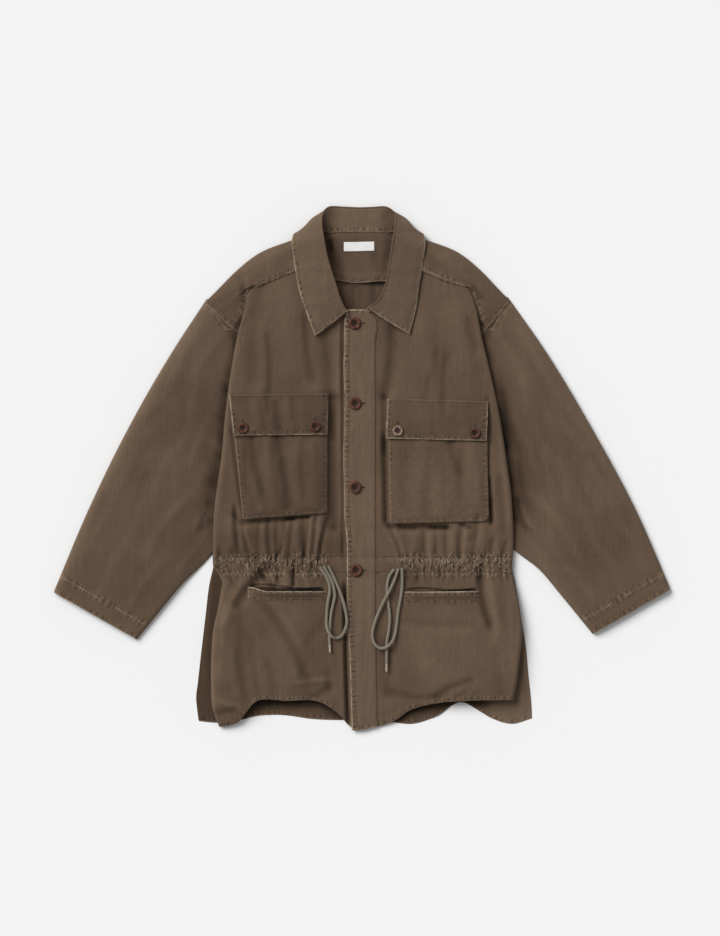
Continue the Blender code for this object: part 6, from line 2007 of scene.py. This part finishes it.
rightBand = lowerBand("pocketBandRight", "lower_pocket_band_right", 141)
leftBand = lowerBand("pocketBandLeft", "lower_pocket_band_left", 151)
cutSheet(rightBand)
cutSheet(leftBand)
print("pockets")

# neck label: blank woven tape
labelSet = {
    "thick": 0.55,
    "low": (-29.0, 348.6),
    "high": (19.6, 363.2),
    "level": 4.7,
    "step": 0.8,
    "edges": (0.0, 0.2, 0.5, 1.0),
}


def labelPiece():
    s = labelSet
    (x1, y1), (x2, y2) = s["low"], s["high"]
    across = alongSteps(x2 - x1, s["step"], s["edges"])[None]
    down = alongSteps(y2 - y1, s["step"], s["edges"])[:, None]
    x = x1 + (x2 - x1) * across + 0 * down
    y = y2 - (y2 - y1) * down + 0 * across
    near = np.minimum(np.minimum(x - x1, x2 - x), np.minimum(y - y1, y2 - y))
    z = s["level"] + 0.12 * ripple(x, y, 161, 18.0) - 0.25 * bell(near, 0.4)
    grid = gridOf(x, y + 0.4 * np.sin(x / 14.0), z)
    clothPiece("neckLabel", grid, s["thick"], ("neck_label",), flip=True, material=labelTape, slotName="label")


labelPiece()

# buttons: four holes, thick rim, sunk middle
buttonRows = rowsOf(
    "name node x y diameter rise turn",
    ("frontButton1", "front_button_1", -11.8, 232.5, 20, 2.4, 12),
    ("frontButton2", "front_button_2", -10.9, 104.5, 20, 2.4, 50),
    ("frontButton3", "front_button_3", -10.9, -29.9, 20, 2.4, -18),
    ("frontButton4", "front_button_4", -9.4, -162.6, 20, 2.4, 30),
    ("flapButton1", "flap_button_1", -189.8, 65, 17.4, 9.5, 20),
    ("flapButton2", "flap_button_2", -75.2, 67.4, 17.4, 9.5, 64),
    ("flapButton3", "flap_button_3", 57, 60.5, 17.4, 9.5, -30),
    ("flapButton4", "flap_button_4", 180.5, 57, 17.4, 9.5, 8),
)
buttonSet = {
    "thick": 3.2,
    "gap": 0.35,
    "holeAt": 0.205,
    "hole": 0.095,
    "holeDeep": 1.5,
    "segments": 48,
    # share of the radius, share of the thickness
    "profile": (
        (0.0, 0.42), (0.20, 0.42), (0.42, 0.45), (0.52, 0.60), (0.62, 0.92), (0.72, 1.0), (0.86, 0.97), (0.96, 0.80),
        (1.0, 0.55),
    ),
    "below": ((0.97, 0.24), (0.86, 0.06), (0.70, 0.0), (0.30, 0.0)),
    "threadLift": 0.35,
    "threadRadius": 0.34,
}


def buttonPiece(row):
    s = buttonSet
    radius = row.diameter / 2
    reach = (-7, 0, 7)
    places = [(row.x + dx, row.y + dy) for dx in reach for dy in reach]
    level = max(float(frontHeight(x, y) + channelHeight(y)) + row.rise for x, y in places) + s["gap"]
    turns = np.linspace(0, 2 * math.pi, s["segments"], endpoint=False)
    rings = np.concatenate([np.linspace(0.02, 0.36, 13), np.linspace(0.42, 1.0, 13)])
    at, high = zip(*s["profile"])
    profile = curveThrough(high, rings, at)
    x = rings[:, None] * radius * np.cos(turns)[None]
    y = rings[:, None] * radius * np.sin(turns)[None]
    z = profile[:, None] * s["thick"] + 0 * x
    holes = []
    for k in range(4):
        angle = math.radians(row.turn) + math.pi / 4 + k * math.pi / 2
        holes.append((s["holeAt"] * radius * math.cos(angle), s["holeAt"] * radius * math.sin(angle)))
    dip = np.zeros(x.shape)
    for holeX, holeY in holes:
        off = np.hypot(x - holeX, y - holeY)
        dip = np.maximum(dip, 1 - softStep(off, s["hole"] * radius * 0.75, s["hole"] * radius * 1.25))
    grid = [gridOf(x, y, z - dip * s["holeDeep"])]
    for size, high in s["below"]:
        out = size * radius
        grid.append(gridOf(out * np.cos(turns), out * np.sin(turns), 0 * turns + high * s["thick"])[None])
    middle = np.array([row.x, row.y, level])
    ends = [middle + [0, 0, profile[0] * s["thick"]], middle]
    disc, flat = cappedTube(row.name, np.concatenate(grid) + middle, ends, flip=True)
    linkPiece(row.name, disc, paleButtonPlastic if row.name == "flapButton3" else buttonPlastic, "button", row.node)
    away = np.hypot(flat[:, 0] - row.x, flat[:, 1] - row.y) / radius
    # painted shade in the sunk middle and round the edge of the rim
    wearAndPaintedShade = np.maximum(1 - softStep(away, 0.42, 0.62), 0.75 * softStep(away, 0.90, 1.0))
    setAttributes(disc, np.zeros((len(flat), 3)), wearAndPaintedShade)
    # thread between the holes
    for k in (0, 1):
        angle = math.radians(row.turn) + math.pi / 4 + k * math.pi / 2
        ends = []
        for way in (angle, math.pi - angle + 2 * math.radians(row.turn)):
            out = np.array([math.cos(way), math.sin(way), 0]) * s["holeAt"] * radius
            ends.append(middle + out + [0, 0, s["thick"] * 0.42 + s["threadLift"]])
        long = math.dist(*ends)
        if long > 0.5:
            up = np.tile([0, 0, 1.0], (5, 1))
            sewPoints("buttons", np.linspace(*ends, 5), up, pitch=20.0, length=long * 0.94, radius=s["threadRadius"])


for row in buttonRows:
    buttonPiece(row)
print("buttons")

# buttonholes: a worked slit beside each front button, above each flap button
holeSet = {
    "long": 11.0,
    "wide": 1.2,
    "underButton": 4.5,
    "points": 24,
    "pitch": 0.85,
    "lift": 0.55,
    "slitLift": 0.06,
    "stitch": 1.5,
    "stitchSink": 0.35,
    "threadRadius": 0.34,
}


def buttonhole(row, surface, across):
    s = holeSet
    start = row.diameter / 2 - s["underButton"]
    last = s["points"] - 1
    at = np.linspace(start, start + s["long"], s["points"])
    x = row.x + (at if across else 0 * at)
    y = row.y + (0 * at if across else at)
    level = levelOn(surface[1].reshape(-1, 3), x, y, np.ones(7) / 7)
    middle = gridOf(x, y, level + s["lift"])
    way = np.array([0.0, 1.0, 0.0]) if across else np.array([1.0, 0.0, 0.0])
    corners = np.concatenate([middle - way * s["wide"] / 2, (middle + way * s["wide"] / 2)[::-1]])
    order = np.arange(len(corners))[None, ::1 if across else -1]
    name = "slit_" + row.name
    # the slit is a dark sheet of painted shade
    linkPiece(name, meshFrom(name, corners + [0, 0, s["slitLift"]], [order]), slitShadeSheet, "twill")
    for side in (-1, 1):
        for k in range(int(s["long"] / s["pitch"])):
            spot = middle[min(last, int(k * s["pitch"] / s["long"] * last))] + way * side * s["wide"] * 0.55
            outer = spot + way * side * s["stitch"] - np.array([0, 0, s["stitchSink"]])
            stitch = (spot[None], outer[None], np.array([[0, 0, 1.0]]), np.array([s["threadRadius"]]))
            stitchRuns.setdefault("buttonholes", []).append(stitch)


for row in buttonRows:
    surface = placket if "front" in row.name else (rightFlap if row.x < 0 else leftFlap)
    buttonhole(row, surface, "front" in row.name)

# stitching: each edge with its rows' distances from it
pocketLines = tuple((side, inset) for inset in (1.6, 6.4) for side in ("left", "right", "low"))
flapLines = (("left", 5.6), ("right", 5.6), ("low", 5.6), ("top", 1.6), ("top", 6.4))
bandLines = (("low", 1.4), ("low", 6.0), ("left", 1.4), ("right", 1.4))
backLines = (("low", 14.0), ("left", 1.6), ("left", 6.0))
for surface, lines in (
    (collarLeaf, (("right", 5.6), ("top", 6.0), ("low", 6.0))),
    (placket, (("left", 8.0), ("right", 1.2), ("right", 4.4), ("low", 7.0))),
    (rightPocket, pocketLines),
    (leftPocket, pocketLines),
    (rightFlap, flapLines),
    (leftFlap, flapLines),
    (rightBand, bandLines),
    (leftBand, bandLines),
    (rightFront, (("low", 14.0),)),
    (leftFront, (("low", 14.0),)),
    (rightBack, backLines),
    (leftBack, backLines),
    (yoke, (("right", 1.8), ("right", 6.4))),
    (collarStand, (("left", 1.6), ("left", 24.5))),
):
    for edge, inset in lines:
        sew(surface, edgeLine(surface[1], edge, inset))
columns = np.arange(yoke[1].shape[1], dtype=float)
down = lengthsOf(yoke[1])[1][..., None]
for inset in (1.8, 6.4):
    for start, way in ((yokeLines["first"], 1), (yokeLines["last"], -1)):
        sewDown(yoke, columns, pointAt(down, np.full(len(columns), start), columns)[:, 0] + way * inset)
columns = np.arange(2, 57, dtype=float)  # the upper half of a sleeve
for sleeve in (rightSleeve, leftSleeve):
    ends = lengthsOf(sleeve[1])[1][-1, 2:57]
    for inset in (sleeveSet["cuffHem"] - 1.2, sleeveSet["cuffHem"] - 4.4, 1.4):
        sewDown(sleeve, columns, ends - inset)
    for inset in (1.8, 6.6):
        sewDown(sleeve, columns, 0 * ends + inset)
# the ends of the casing beside the placket
for surface, low, high in ((rightFront, -55, -32), (leftFront, 26, 48)):
    x = np.linspace(low, high, 24)
    flat = surface[1].reshape(-1, 3)
    for row in (-139, -143.5, -151, -158, -171, -175):
        y = row + 0 * x
        sewPoints("casing", gridOf(x, y, levelOn(flat, x, y, np.ones(5) / 5) + 0.1), np.tile([0, 0, 1.0], (24, 1)))
makeStitches()

floorCorners = [(x * 6000, y * 6000, 0) for x, y in ((-1, -1), (1, -1), (1, 1), (-1, 1))]
floor = bpy.data.objects.new("floor", meshFrom("floor", floorCorners, [[(0, 1, 2, 3)]]))
scene.collection.objects.link(floor)
floor.data.materials.append(plainMaterial("floorPaint", lightSet["floor"], lightSet["floor"], 0.9, 3.0))

counts = {}
for piece in scene.objects:
    if piece.type == "MESH" and not piece.hide_render:
        counts[piece.name] = sum(len(face.vertices) - 2 for face in piece.data.polygons)
print("triangles:", sum(counts.values()), "most:", sorted(counts, key=counts.get, reverse=True)[:6])
